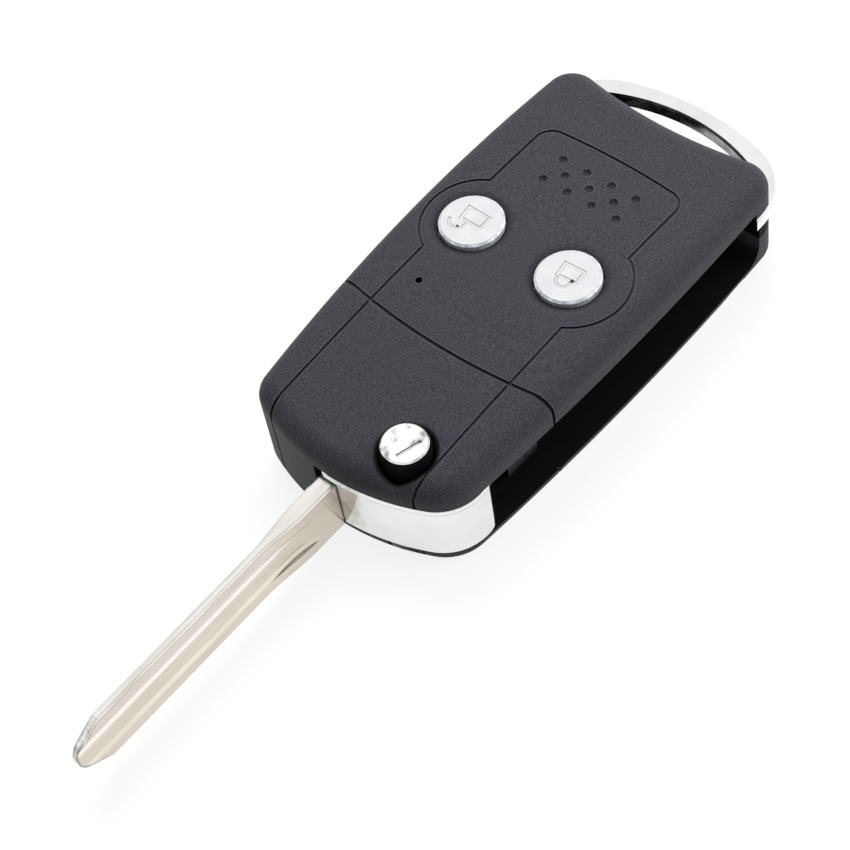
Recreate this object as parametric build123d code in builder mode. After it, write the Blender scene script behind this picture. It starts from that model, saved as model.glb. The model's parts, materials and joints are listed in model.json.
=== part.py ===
"""A flip key remote shell: a moulded two-button handle whose metal head swings the blade out."""
import os
from math import sqrt
from build123d import *

os.makedirs("parts", exist_ok=True)

# Body outline, millimetres. X runs toward the key ring, the blade points to -X, the blade slot
# is on the -Y side. The origin is on the flat underside and the handle's long centre line, just
# ahead of the two buttons.
body_thickness = 17.4
nose_x = -39.3
nose_centre_y = 1.4
nose_radius = 32.0
waist_half_width = 18.88
waist_x = 11.0
side_radius = 480.0
ring_edge_x = 31.25
ring_edge_radius = 65.0
front_left_corner = 4.0
front_right_corner = 6.8
rear_corner = 4.2
top_arch_radius = 399.0
top_arch_x = -1.9
top_edge_round = 3.0
bottom_edge_round = 1.9

# How the body is divided
seam_x = -17.7
seam_radius = 91.0
top_cover_depth = 5.25
front_cover_height = 5.2
rear_skirt_drop = 1.25
rear_fit = 0.1
wall = 1.5
roof_thickness = 3.1
floor_thickness = 2.1
seam_groove_width = 0.5
seam_groove_depth = 0.35

# Decorative panel grooves
panel_groove_width = 0.4
panel_groove_depth = 0.28
panel_inset = 6.98
panel_end_x = 21.0
panel_end_radius = 180.0
panel_corner = 2.6
bulge_radius = 8.0
bulge_x = 0.9
bulge_inset = 10.73

# Remote buttons
button_x = 0.7
button_shift = 0.8
button_inset = 10.58
button_diameter = 9.1
button_proud = 0.5
button_edge_bevel = 0.3
button_gap = 0.2
button_skin = 1.6
button_rim = 1.0
button_flange_width = 0.8
button_flange_height = 0.8
button_stem_diameter = 3.0
button_dish_diameter = 12.2
button_dish_depth = 0.4
button_dish_round = 3.0

# Rubber membrane below the buttons
membrane_thickness = 0.7
membrane_length = 13.6
membrane_margin = 2.6
membrane_rim = 0.9
dome_diameter = 4.6
dome_height = 0.55
inner_gap = 0.05

# Dimples and lamp hole
dimple_diameter = 1.3
dimple_depth = 0.36
dimple_pitch = 4.16
dimple_row_pitch = 2.19
dimple_row_x = 12.4
lamp_hole_diameter = 1.0
lamp_hole_x = -10.9
lamp_hole_inset = 10.28

# Flip joint
pivot_setback = 5.7
pivot_inset = 11.38
head_floor_z = 2.3
head_corner = 2.0
head_end_round = 4.5
head_proud = 0.3
head_clearance = 0.22
head_cavity_clearance = 0.3
head_edge_round = 0.35
hub_diameter = 11.4
hub_height = 0.7
hub_fit = 0.2

# Release button
barrel_diameter = 6.9
barrel_fit = 0.2
barrel_proud = 1.35
barrel_bottom_z = 3.5
cap_diameter = 6.4
cap_height = 0.9
cap_seat_depth = 0.4
cap_edge_bevel = 0.15
cap_line_width = 0.28
cap_line_depth = 0.12
cap_line_length = 3.6
cap_line_offset = 1.0
cap_line_angle = -17.0
release_travel = 1.8
lug_ring_diameter = 8.7
lug_ring_height = 1.6
lug_ring_sink = 0.75
lug_width = 2.2
lug_reach = 0.9
lug_fit = 0.25
release_dish_round = 0.9

# Torsion spring and pivot plug
spring_outer_diameter = 4.9
spring_wire = 0.7
spring_coils = 4.5
spring_top_depth = 6.2
spring_bore_fit = 0.3
plug_diameter = 9.0
plug_thickness = 0.9
plug_fit = 0.1
plug_stem_diameter = 4.8
plug_stem_rise = 0.6
plug_slot_width = 1.0
plug_slot_depth = 0.4

# Key blade
blade_offset_y = 8.0
blade_reach = 47.6
blade_height = 9.2
blade_thickness = 1.3
blade_bottom_z = 2.4
blade_edge_bevel = 0.22
shoulder_length = 6.6
shoulder_taper = 6.4
shoulder_thickness = 2.7
shoulder_blend = 20.0
tang_length = 9.0
tang_thickness = 2.2
tang_height = 7.0
tang_fit = 0.05
tip_length = 4.6
tip_height = 3.5
tip_round = 2.6
channel_height = 5.1
channel_depth = 0.25
channel_slope = 0.8
channel_start = 3.9
channel_cutter_radius = 24.0
roll_pin_diameter = 1.6
roll_pin_wall = 0.35
roll_pin_gap = 0.3
roll_pin_length = 5.2
roll_pin_inset = 4.6
roll_pin_recess = 0.15

# Blade slot
slot_end_x = 27.7
slot_clearance = 0.5
slot_roof_thickness = 0.8
slot_corner = 2.8
liner_thickness = 1.3

# Key ring bail
bail_thickness = 2.3
bail_drop = 0.1
bail_reach = 8.25
bail_outer_radius = 38.0
bail_shoulder_round = 10.0
bail_width = 2.6
bail_inner_radius = 28.0
bail_leg_x = 27.0
bail_leg_width = 6.4
bail_proud = 0.15
bail_edge_round = 0.3
bail_fit = 0.1
bail_post_diameter = 2.2
bail_post_x = 29.6
bail_post_inset = 3.2
carrier_thickness = 2.2

# Screws
screw_head_diameter = 3.2
screw_shank_diameter = 1.6
screw_head_height = 1.1
screw_length = 13.5
screw_hole_fit = 0.1
boss_diameter = 4.4
rear_screw_x = 19.5
rear_screw_inset = 10.08
front_screw_x = -24.0
front_screw_inset = 6.28
cross_slot_width = 0.45
cross_slot_depth = 0.6

# Places worked out from the sizes above
top_split_z = body_thickness - top_cover_depth
rear_skirt_z = top_split_z - rear_skirt_drop
roof_z = body_thickness - roof_thickness
panel_half_width = waist_half_width - panel_inset
button_y = waist_half_width - button_inset
button_spacing = 2 * button_y
bulge_y = waist_half_width - bulge_inset
lamp_hole_y = waist_half_width - lamp_hole_inset
pivot_y = pivot_inset - waist_half_width
pivot_x = nose_x + (pivot_y - nose_centre_y) ** 2 / (2 * nose_radius) + pivot_setback
pivot = (pivot_x, pivot_y)
head_bottom_z = head_floor_z + head_clearance
head_top_z = top_split_z - head_clearance
blade_y = pivot_y + blade_offset_y
folded_blade_y = pivot_y - blade_offset_y
slot_wall_y = folded_blade_y + shoulder_thickness / 2 + slot_clearance
blade_mid_z = blade_bottom_z + blade_height / 2
rear_step_x = bail_leg_x + rear_fit
bail_top_z = rear_skirt_z - bail_drop
bail_bottom_z = bail_top_z - bail_thickness
carrier_bottom_z = bail_bottom_z - carrier_thickness
bail_apex_x = ring_edge_x + bail_reach
far = 3 * waist_half_width


def side_half_width(x):
    """Half width of the body at a place along it."""
    return waist_half_width - (x - waist_x) ** 2 / (2 * side_radius)


def nose_at(y):
    """Where the rounded nose lies at a distance across the body."""
    return nose_x + (y - nose_centre_y) ** 2 / (2 * nose_radius)


def ring_edge_at(y):
    """Where the hollow ring end lies at a distance across the body."""
    return ring_edge_x + y**2 / (2 * ring_edge_radius)


def seam_at(y):
    """Where the seam between the front and rear covers lies across the body."""
    return seam_x + y**2 / (2 * seam_radius)


def top_at(x):
    """Height of the arched top face at a place along the body."""
    return body_thickness - (x - top_arch_x) ** 2 / (2 * top_arch_radius)


def body_outline(inset):
    """The body seen from above, with every edge moved inward by the inset."""
    half_width = waist_half_width - inset
    left_y = half_width
    right_y = -half_width
    for _ in range(6):
        left_y = side_half_width(nose_at(left_y) + inset) - inset
        right_y = inset - side_half_width(nose_at(right_y) + inset)
    rear_y = side_half_width(ring_edge_at(half_width)) - inset
    front_left = (nose_at(left_y) + inset, left_y)
    front_right = (nose_at(right_y) + inset, right_y)
    rear_left = (ring_edge_at(rear_y) - inset, rear_y)
    rear_right = (ring_edge_at(rear_y) - inset, -rear_y)
    with BuildSketch() as outline:
        with BuildLine():
            ThreePointArc(front_left, (nose_x + inset, nose_centre_y), front_right)
            ThreePointArc(front_right, (waist_x, -half_width), rear_right)
            ThreePointArc(rear_right, (ring_edge_x - inset, 0), rear_left)
            ThreePointArc(rear_left, (waist_x, half_width), front_left)
        make_face()
        fillet(outline.vertices().sort_by(Axis.X)[-2:], rear_corner - inset)
        fillet(outline.vertices().sort_by_distance(front_left)[0], front_left_corner - inset)
        fillet(outline.vertices().sort_by_distance(front_right)[0], front_right_corner - inset)
    return outline.sketch


def body_blank(inset):
    """The whole body as one block, with every outer face moved inward by the inset."""
    with BuildPart() as blank:
        with BuildSketch():
            add(body_outline(inset))
        extrude(amount=body_thickness)
        with BuildSketch(Plane.XZ):
            with BuildLine():
                Line((-far, inset), (far, inset))
                Line((far, inset), (far, top_at(far) - inset))
                ThreePointArc(
                    (far, top_at(far) - inset),
                    (top_arch_x, body_thickness - inset),
                    (-far, top_at(-far) - inset),
                )
                Line((-far, top_at(-far) - inset), (-far, inset))
            make_face()
        extrude(amount=far, both=True, mode=Mode.INTERSECT)
        fillet(blank.faces().sort_by(Axis.Z)[-1].edges(), top_edge_round - inset)
        fillet(blank.faces().sort_by(Axis.Z)[0].edges(), bottom_edge_round - inset)
    return blank.part


def seam_sketch(shift):
    """Everything on the blade side of the seam, with the seam moved by the shift."""
    with BuildSketch() as side:
        with BuildLine():
            seam_left = (seam_at(far) + shift, far)
            seam_right = (seam_at(far) + shift, -far)
            ThreePointArc(seam_left, (seam_x + shift, 0), seam_right)
            Polyline(seam_right, (-2 * far, -far), (-2 * far, far), seam_left)
        make_face()
    return side.sketch


body = body_blank(0)

with BuildPart() as front_side:
    add(body)
    with BuildSketch():
        add(seam_sketch(0))
    extrude(amount=body_thickness, mode=Mode.INTERSECT)

with BuildPart() as rear_side:
    add(body)
    with BuildSketch():
        add(seam_sketch(0))
    extrude(amount=body_thickness, mode=Mode.SUBTRACT)

# Grooves: a thin band cut only as deep as a slightly smaller body allows
with BuildPart() as seam_groove:
    with BuildSketch(Plane.XY.offset(-1)):
        with BuildLine():
            ThreePointArc((seam_at(far), far), (seam_x, 0), (seam_at(far), -far))
        trace(line_width=seam_groove_width)
    extrude(amount=body_thickness + 2)
    add(body_blank(seam_groove_depth), mode=Mode.SUBTRACT)

bulge_reach = sqrt(bulge_radius**2 - (panel_half_width - bulge_y) ** 2)
panel_end_side_x = panel_end_x - panel_half_width**2 / (2 * panel_end_radius)
groove_core = body_blank(panel_groove_depth)

with BuildPart() as panel_grooves:
    with BuildSketch(Plane.XY.offset(top_split_z - 1)):
        with BuildLine() as left_line:
            Line((-far, panel_half_width), (bulge_x - bulge_reach, panel_half_width))
            ThreePointArc(
                (bulge_x - bulge_reach, panel_half_width),
                (bulge_x, bulge_y + bulge_radius),
                (bulge_x + bulge_reach, panel_half_width),
            )
            Line(
                (bulge_x + bulge_reach, panel_half_width),
                (panel_end_side_x - panel_corner, panel_half_width),
            )
        trace(line_width=panel_groove_width)
        mirror(about=Plane.XZ)
    extrude(amount=far)
    with BuildSketch(Plane.XY.offset(top_split_z - 1)):
        with BuildLine():
            ThreePointArc(
                (panel_end_side_x, panel_half_width - panel_corner),
                (panel_end_x, 0),
                (panel_end_side_x, panel_corner - panel_half_width),
            )
        trace(line_width=panel_groove_width)
        with BuildLine():
            RadiusArc(
                (panel_end_side_x - panel_corner, panel_half_width),
                (panel_end_side_x, panel_half_width - panel_corner),
                panel_corner,
            )
        trace(line_width=panel_groove_width)
        with BuildLine():
            RadiusArc(
                (panel_end_side_x, panel_corner - panel_half_width),
                (panel_end_side_x - panel_corner, -panel_half_width),
                panel_corner,
            )
        trace(line_width=panel_groove_width)
    extrude(amount=far)
    add(groove_core, mode=Mode.SUBTRACT)

with BuildPart() as floor_grooves:
    with BuildSketch(Plane.XY.offset(-1)):
        with GridLocations(0, 2 * panel_half_width, 1, 2):
            Rectangle(2 * (panel_end_x + far), panel_groove_width, align=Align.CENTER)
        with Locations((panel_end_x + far, 0)):
            Rectangle(2 * far, 2 * far, mode=Mode.SUBTRACT)
    extrude(amount=top_split_z + 1)
    add(groove_core, mode=Mode.SUBTRACT)

# The chrome head keeps its outline when it has swung half a turn about the pivot
head_side = body_outline(-head_proud)
head_side_turned = Pos(2 * pivot_x, 2 * pivot_y) * Rot(0, 0, 180) * head_side
with BuildSketch() as head_plan:
    add(head_side)
    add(head_side_turned, mode=Mode.INTERSECT)
    head_points = head_plan.vertices().sort_by_distance(pivot)[-2:]
    fillet(head_points.sort_by(Axis.Y)[0], head_end_round)
    fillet(head_plan.vertices().sort_by_distance(pivot)[-1], head_corner)
head_box = head_plan.sketch.bounding_box()
head_face_x = head_box.min.X
head_end_y = head_box.max.Y
head_reach = sqrt((pivot_x - head_face_x) ** 2 + (head_end_y - pivot_y) ** 2)
head_cavity_radius = head_reach + head_cavity_clearance
blade_tip_x = head_face_x - blade_reach
head_cavity_wall = head_cavity_radius + wall

# Hollows inside the covers
hollow_height = roof_z - floor_thickness
hollow_end_x = bail_leg_x - wall

with BuildPart() as front_hollow:
    with BuildSketch(Plane.XY.offset(floor_thickness)):
        add(body_outline(wall))
        add(seam_sketch(-wall), mode=Mode.INTERSECT)
        with Locations(pivot):
            Circle(head_cavity_wall, mode=Mode.SUBTRACT)
        with Locations((0, pivot_y - far)):
            Rectangle(4 * far, 2 * far, mode=Mode.SUBTRACT)
    extrude(amount=hollow_height)

with BuildPart() as rear_hollow:
    with BuildSketch(Plane.XY.offset(floor_thickness)):
        add(body_outline(wall))
        add(seam_sketch(wall), mode=Mode.SUBTRACT)
        with Locations((hollow_end_x + far, 0)):
            Rectangle(2 * far, 2 * far, mode=Mode.SUBTRACT)
    extrude(amount=hollow_height)

# The space that the folded blade lies in, open along the slot side
slot_height = top_split_z - floor_thickness
slot_length = slot_end_x - pivot_x
liner_wall_y = slot_wall_y + liner_thickness
slot_roof_z = top_split_z + slot_roof_thickness

with BuildPart() as blade_space:
    with BuildSketch(Plane.XZ.offset(-slot_wall_y)) as slot_side:
        with Locations((slot_end_x, floor_thickness)):
            Rectangle(slot_length, slot_height, align=(Align.MAX, Align.MIN))
        fillet(slot_side.vertices().sort_by(Axis.X)[-2:].sort_by(Axis.Y)[0], slot_corner)
    extrude(amount=far)

with BuildPart() as head_cavity:
    with Locations((pivot_x, pivot_y, head_floor_z)):
        Cylinder(
            head_cavity_radius,
            top_split_z - head_floor_z,
            align=(Align.CENTER, Align.CENTER, Align.MIN),
        )

# Screw posts, shared by the covers that each screw passes through
front_screw = (front_screw_x, waist_half_width - front_screw_inset)
rear_screw_y = waist_half_width - rear_screw_inset
rear_screws = [(rear_screw_x, rear_screw_y), (rear_screw_x, -rear_screw_y)]
screw_places = [front_screw, *rear_screws]
upright = (Align.CENTER, Align.CENTER, Align.MIN)
hanging = (Align.CENTER, Align.CENTER, Align.MAX)
screw_bore = screw_shank_diameter / 2 + screw_hole_fit
screw_sink = screw_head_diameter / 2 + screw_hole_fit

# Front top cover
barrel_bore = barrel_diameter / 2 + barrel_fit
lug_ring_bottom_z = head_top_z - lug_ring_sink
lug_ring_top_z = lug_ring_bottom_z + lug_ring_height
lug_pocket_radius = lug_ring_diameter / 2 + lug_reach + lug_fit

with BuildPart() as front_top_cover:
    add(front_side.part)
    split(bisect_by=Plane.XY.offset(top_split_z), keep=Keep.TOP)
    add(front_hollow.part, mode=Mode.SUBTRACT)
    with Locations((*front_screw, top_split_z)):
        Cylinder(boss_diameter / 2, roof_z - top_split_z, align=upright)
        Cylinder(screw_bore, screw_length - top_split_z + screw_hole_fit, align=upright,
                 mode=Mode.SUBTRACT)
    with Locations((pivot_x, pivot_y, top_split_z)):
        Cylinder(barrel_bore, far, align=upright, mode=Mode.SUBTRACT)
        Cylinder(lug_pocket_radius, lug_ring_top_z + head_clearance - top_split_z,
                 align=upright, mode=Mode.SUBTRACT)
    bore_top = front_top_cover.edges().sort_by_distance((pivot_x, pivot_y, body_thickness))[0]
    fillet(bore_top, release_dish_round)
    add(seam_groove.part, mode=Mode.SUBTRACT)
    add(panel_grooves.part, mode=Mode.SUBTRACT)
front_top_cover.part.label = "front_top_cover"

# Middle frame of the nose, beside the head
with BuildPart() as front_frame:
    add(front_side.part)
    split(bisect_by=Plane.XY.offset(top_split_z), keep=Keep.BOTTOM)
    split(bisect_by=Plane.XY.offset(front_cover_height), keep=Keep.TOP)
    add(head_cavity.part, mode=Mode.SUBTRACT)
    add(blade_space.part, mode=Mode.SUBTRACT)
    add(front_hollow.part, mode=Mode.SUBTRACT)
    add(seam_groove.part, mode=Mode.SUBTRACT)
    add(panel_grooves.part, mode=Mode.SUBTRACT)
    add(floor_grooves.part, mode=Mode.SUBTRACT)
front_frame.part.label = "front_frame"

# Front bottom cover, the floor below the head
with BuildPart() as front_bottom_cover:
    add(front_side.part)
    split(bisect_by=Plane.XY.offset(front_cover_height), keep=Keep.BOTTOM)
    add(head_cavity.part, mode=Mode.SUBTRACT)
    add(blade_space.part, mode=Mode.SUBTRACT)
    add(front_hollow.part, mode=Mode.SUBTRACT)
    with Locations((pivot_x, pivot_y, head_floor_z)):
        Cylinder(hub_diameter / 2 + hub_fit, hub_height, align=hanging, mode=Mode.SUBTRACT)
    with Locations((pivot_x, pivot_y, 0)):
        Cylinder(plug_stem_diameter / 2 + plug_fit, far, align=upright, mode=Mode.SUBTRACT)
        Cylinder(plug_diameter / 2 + plug_fit, plug_thickness, align=upright,
                 mode=Mode.SUBTRACT)
    with Locations((*front_screw, 0)):
        Cylinder(boss_diameter / 2, top_split_z, align=upright)
        Cylinder(screw_bore, far, align=upright, mode=Mode.SUBTRACT)
        Cylinder(screw_sink, screw_head_height, align=upright, mode=Mode.SUBTRACT)
    add(seam_groove.part, mode=Mode.SUBTRACT)
    add(floor_grooves.part, mode=Mode.SUBTRACT)
front_bottom_cover.part.label = "front_bottom_cover"

# Rear top cover with the two button wells
button_radius = button_diameter / 2
button_hole = button_radius + button_gap
button_recess = button_radius + button_flange_width + button_gap
button_top_z = body_thickness + button_proud
button_places = (button_shift + button_y, button_shift - button_y)
dish_radius = button_dish_diameter / 2
dimple_sphere = ((dimple_diameter / 2) ** 2 + dimple_depth**2) / (2 * dimple_depth)
flange_bottom_z = roof_z + inner_gap
flange_top_z = flange_bottom_z + button_flange_height

with BuildPart() as slot_roof:
    with BuildSketch(Plane.XY.offset(top_split_z)):
        add(body_outline(wall / 2))
        add(seam_sketch(wall / 2), mode=Mode.SUBTRACT)
        with Locations((0, liner_wall_y + far)):
            Rectangle(4 * far, 2 * far, mode=Mode.SUBTRACT)
        with Locations((hollow_end_x + wall / 2 + far, 0)):
            Rectangle(2 * far, 2 * far, mode=Mode.SUBTRACT)
    extrude(amount=slot_roof_thickness)

with BuildPart() as rear_top_cover:
    add(rear_side.part)
    with Locations((rear_step_x, 0, top_split_z)):
        Box(2 * far, 2 * far, far, align=(Align.MAX, Align.CENTER, Align.MAX),
            mode=Mode.SUBTRACT)
    with Locations((rear_step_x, 0, rear_skirt_z)):
        Box(far, 2 * far, far, align=(Align.MIN, Align.CENTER, Align.MAX), mode=Mode.SUBTRACT)
    add(rear_hollow.part, mode=Mode.SUBTRACT)
    add(slot_roof.part)
    with Locations(*[(button_x, y, flange_top_z + inner_gap) for y in button_places]):
        Cylinder(button_recess, far, align=hanging, mode=Mode.SUBTRACT)
    with Locations(*[(x, y, top_split_z) for x, y in rear_screws]):
        Cylinder(boss_diameter / 2, roof_z - top_split_z, align=upright)
    with Locations(*[(x, y, top_split_z) for x, y in rear_screws]):
        Cylinder(screw_bore, screw_length - top_split_z + screw_hole_fit, align=upright,
                 mode=Mode.SUBTRACT)
    with Locations(*[(button_x, y) for y in button_places]):
        Cylinder(button_hole, 2 * far, mode=Mode.SUBTRACT)
    with Locations(*[(button_x, y, body_thickness - button_dish_depth) for y in button_places]):
        Cone(button_hole, 2 * dish_radius - button_hole, 2 * button_dish_depth, align=upright,
             mode=Mode.SUBTRACT)
    for y in button_places:
        lip = (button_x + dish_radius, y, top_at(button_x + dish_radius))
        fillet(rear_top_cover.edges().sort_by_distance(lip)[0], button_dish_round)
    with Locations((lamp_hole_x, lamp_hole_y)):
        Cylinder(lamp_hole_diameter / 2, 2 * far, mode=Mode.SUBTRACT)
    add(seam_groove.part, mode=Mode.SUBTRACT)
    add(panel_grooves.part, mode=Mode.SUBTRACT)
    for row, count in enumerate((4, 3, 4)):
        row_x = dimple_row_x + row * dimple_row_pitch
        with Locations((row_x, 0, top_at(row_x) - dimple_depth)):
            with GridLocations(0, dimple_pitch, 1, count):
                Sphere(dimple_sphere, rotation=(0, 0, 90), align=upright, mode=Mode.SUBTRACT)
rear_top_cover.part.label = "rear_top_cover"

# Chrome bail for the key ring
with BuildSketch(Plane.XY.offset(bail_bottom_z)) as bail_plan:
    with BuildLine():
        bail_end_y = side_half_width(bail_leg_x) + bail_proud
        bail_corner_x = bail_apex_x - bail_end_y**2 / (2 * bail_outer_radius)
        Line((bail_leg_x, -bail_end_y), (bail_corner_x, -bail_end_y))
        ThreePointArc((bail_corner_x, -bail_end_y), (bail_apex_x, 0), (bail_corner_x, bail_end_y))
        Line((bail_corner_x, bail_end_y), (bail_leg_x, bail_end_y))
        Line((bail_leg_x, bail_end_y), (bail_leg_x, -bail_end_y))
    make_face()
    fillet(bail_plan.vertices().sort_by(Axis.X)[-2:], bail_shoulder_round)
    with BuildLine():
        inner_end_y = bail_end_y - bail_leg_width
        inner_apex_x = bail_apex_x - bail_width
        inner_corner_x = inner_apex_x - inner_end_y**2 / (2 * bail_inner_radius)
        Line((bail_leg_x, -inner_end_y), (inner_corner_x, -inner_end_y))
        ThreePointArc(
            (inner_corner_x, -inner_end_y), (inner_apex_x, 0), (inner_corner_x, inner_end_y)
        )
        Line((inner_corner_x, inner_end_y), (bail_leg_x, inner_end_y))
        Line((bail_leg_x, inner_end_y), (bail_leg_x, -inner_end_y))
    make_face(mode=Mode.SUBTRACT)

bail_post_y = side_half_width(bail_post_x) - bail_post_inset
bail_posts = [(bail_post_x, bail_post_y), (bail_post_x, -bail_post_y)]

with BuildPart() as key_ring_bail:
    with BuildSketch(Plane.XY.offset(bail_bottom_z)):
        add(bail_plan.sketch)
    extrude(amount=bail_thickness)
    chamfer(key_ring_bail.faces().sort_by(Axis.Z)[-1].edges(), bail_edge_round)
    chamfer(key_ring_bail.faces().sort_by(Axis.Z)[0].edges(), bail_edge_round)
    with Locations(*[(x, y, bail_bottom_z) for x, y in bail_posts]):
        Cylinder(bail_post_diameter / 2 + bail_fit, far, align=upright, mode=Mode.SUBTRACT)
key_ring_bail.part.label = "key_ring_bail"

with BuildPart() as bail_pocket:
    with BuildSketch(Plane.XY.offset(bail_bottom_z)):
        offset(bail_plan.sketch, amount=bail_fit)
    extrude(amount=far)

# Carrier that holds the bail from below and fills the space between its legs
with BuildPart() as bail_carrier:
    add(rear_side.part)
    split(bisect_by=Plane.XY.offset(rear_skirt_z), keep=Keep.BOTTOM)
    split(bisect_by=Plane.XY.offset(carrier_bottom_z), keep=Keep.TOP)
    split(bisect_by=Plane.YZ.offset(rear_step_x), keep=Keep.TOP)
    add(blade_space.part, mode=Mode.SUBTRACT)
    add(bail_pocket.part, mode=Mode.SUBTRACT)
    with Locations(*[(x, y, bail_bottom_z) for x, y in bail_posts]):
        Cylinder(bail_post_diameter / 2, bail_thickness, align=upright)
bail_carrier.part.label = "bail_carrier"

# Rear housing, an open tray with the blade slot along one side
with BuildPart() as rear_housing:
    add(rear_side.part)
    split(bisect_by=Plane.XY.offset(top_split_z), keep=Keep.BOTTOM)
    add(rear_hollow.part, mode=Mode.SUBTRACT)
    add(head_cavity.part, mode=Mode.SUBTRACT)
    add(blade_space.part, mode=Mode.SUBTRACT)
    with Locations((bail_leg_x, 0, carrier_bottom_z)):
        Box(far, 2 * far, far, align=(Align.MIN, Align.CENTER, Align.MIN), mode=Mode.SUBTRACT)
    with Locations(*[(x, y, 0) for x, y in rear_screws]):
        Cylinder(boss_diameter / 2, top_split_z, align=upright)
    with Locations(*[(x, y, 0) for x, y in rear_screws]):
        Cylinder(screw_bore, far, align=upright, mode=Mode.SUBTRACT)
        Cylinder(screw_sink, screw_head_height, align=upright, mode=Mode.SUBTRACT)
    add(seam_groove.part, mode=Mode.SUBTRACT)
    add(floor_grooves.part, mode=Mode.SUBTRACT)
rear_housing.part.label = "rear_housing"

# Liner that closes the blade slot on its inner side
liner_start_x = seam_at(slot_wall_y) + wall + inner_gap

with BuildPart() as slot_liner:
    with BuildSketch(Plane.XY.offset(floor_thickness)):
        with Locations((liner_start_x, slot_wall_y)):
            Rectangle(
                hollow_end_x - liner_start_x,
                liner_thickness,
                align=(Align.MIN, Align.MIN),
            )
    extrude(amount=slot_height)
slot_liner.part.label = "slot_liner"

# Rubber membrane, lying on the roof of the blade slot with its rim against the cover
membrane_bottom_z = slot_roof_z + inner_gap
membrane_width = button_spacing + button_diameter + 2 * membrane_margin
dome_top_z = membrane_bottom_z + membrane_thickness + dome_height

with BuildPart() as button_membrane:
    with BuildSketch(Plane.XY.offset(membrane_bottom_z)) as membrane_plan:
        with Locations((button_x, button_shift)):
            RectangleRounded(membrane_length, membrane_width, membrane_margin)
    extrude(amount=membrane_thickness)
    with BuildSketch(Plane.XY.offset(membrane_bottom_z)):
        add(membrane_plan.sketch)
        offset(amount=-membrane_rim, mode=Mode.SUBTRACT)
    extrude(amount=roof_z - membrane_bottom_z)
    with Locations(*[(button_x, y, membrane_bottom_z) for y in button_places]):
        Cone(
            dome_diameter / 2,
            button_stem_diameter / 2,
            membrane_thickness + dome_height,
            align=upright,
        )
button_membrane.part.label = "button_membrane"

# Chrome remote buttons

def chrome_button(y):
    """One button cap with its flange, skirt and centre stem."""
    with BuildPart() as cap:
        with Locations((button_x, y, flange_bottom_z)):
            Cylinder(button_radius, button_top_z - flange_bottom_z, align=upright)
            chamfer(cap.edges().sort_by(Axis.Z)[-1], button_edge_bevel)
            Cylinder(button_radius + button_flange_width, button_flange_height, align=upright)
            Cylinder(button_radius - button_rim, button_top_z - button_skin - flange_bottom_z,
                     align=upright, mode=Mode.SUBTRACT)
        with Locations((button_x, y, dome_top_z + inner_gap)):
            Cylinder(button_stem_diameter / 2, button_top_z - button_skin - dome_top_z,
                     align=upright)
    return cap.part


with BuildPart() as lock_button:
    add(chrome_button(button_places[1]))
lock_button.part.label = "lock_button"

with BuildPart() as unlock_button:
    add(chrome_button(button_places[0]))
unlock_button.part.label = "unlock_button"

# Key head, turning about the pivot
head_height = head_top_z - head_bottom_z
hub_length = hub_height + head_clearance - inner_gap
tang_y_size = tang_thickness + 2 * tang_fit
tang_z_size = tang_height + 2 * tang_fit

with BuildPart() as key_head:
    with BuildSketch(Plane.XY.offset(head_bottom_z)):
        add(head_plan.sketch)
    extrude(amount=head_height)
    chamfer(key_head.faces().sort_by(Axis.Z)[-1].edges(), head_edge_round)
    chamfer(key_head.faces().sort_by(Axis.Z)[0].edges(), head_edge_round)
    with Locations((pivot_x, pivot_y, head_bottom_z)):
        Cylinder(hub_diameter / 2, hub_length, align=hanging)
    with Locations(pivot):
        Cylinder(barrel_bore, far, mode=Mode.SUBTRACT)
    with Locations((pivot_x, pivot_y, lug_ring_bottom_z - release_travel - inner_gap)):
        Cylinder(lug_ring_diameter / 2 + lug_fit, far, align=upright, mode=Mode.SUBTRACT)
        Box(
            lug_width + 2 * lug_fit,
            lug_ring_diameter + 2 * (lug_reach + lug_fit),
            far,
            align=upright,
            mode=Mode.SUBTRACT,
        )
    with Locations((head_face_x, blade_y, blade_mid_z)):
        Box(
            tang_length + tang_fit,
            tang_y_size,
            tang_z_size,
            align=(Align.MIN, Align.CENTER, Align.CENTER),
            mode=Mode.SUBTRACT,
        )
    with Locations(Location((head_face_x + roll_pin_inset, head_end_y, blade_mid_z), (90, 0, 0))):
        Cylinder(
            roll_pin_diameter / 2,
            roll_pin_length + roll_pin_recess,
            align=upright,
            mode=Mode.SUBTRACT,
        )
key_head.part.label = "key_head"

# Key blade
blade_top_z = blade_bottom_z + blade_height
blade_face_y = blade_thickness / 2
shoulder_face_y = shoulder_thickness / 2
shoulder_end_x = head_face_x - shoulder_length
taper_end_x = shoulder_end_x - shoulder_taper
tip_drop = (blade_height - tip_height) / 2

# The channel has sloped walls and runs out in the arc of a disc cutter
channel_floor_y = blade_face_y - channel_depth
channel_rise = shoulder_face_y - channel_floor_y
channel_run = sqrt(channel_rise * (2 * channel_cutter_radius - channel_rise))
cutter_x = head_face_x - channel_start - channel_run
cutter_y = channel_floor_y + channel_cutter_radius

with BuildPart() as blade_channels:
    with BuildSketch(Plane((cutter_x, blade_y, blade_mid_z), (0, 1, 0), (1, 0, 0))) as section:
        with BuildLine():
            Polyline(
                (channel_floor_y, channel_height / 2 - channel_slope),
                (blade_face_y, channel_height / 2),
                (cutter_y, channel_height / 2),
                (cutter_y, -channel_height / 2),
                (blade_face_y, -channel_height / 2),
                (channel_floor_y, channel_slope - channel_height / 2),
                close=True,
            )
        make_face()
    extrude(section.sketch, amount=-far)
    revolve(section.sketch, axis=Axis((cutter_x, blade_y + cutter_y, 0), (0, 0, 1)))
    mirror(about=Plane.XZ.offset(-blade_y))

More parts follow.
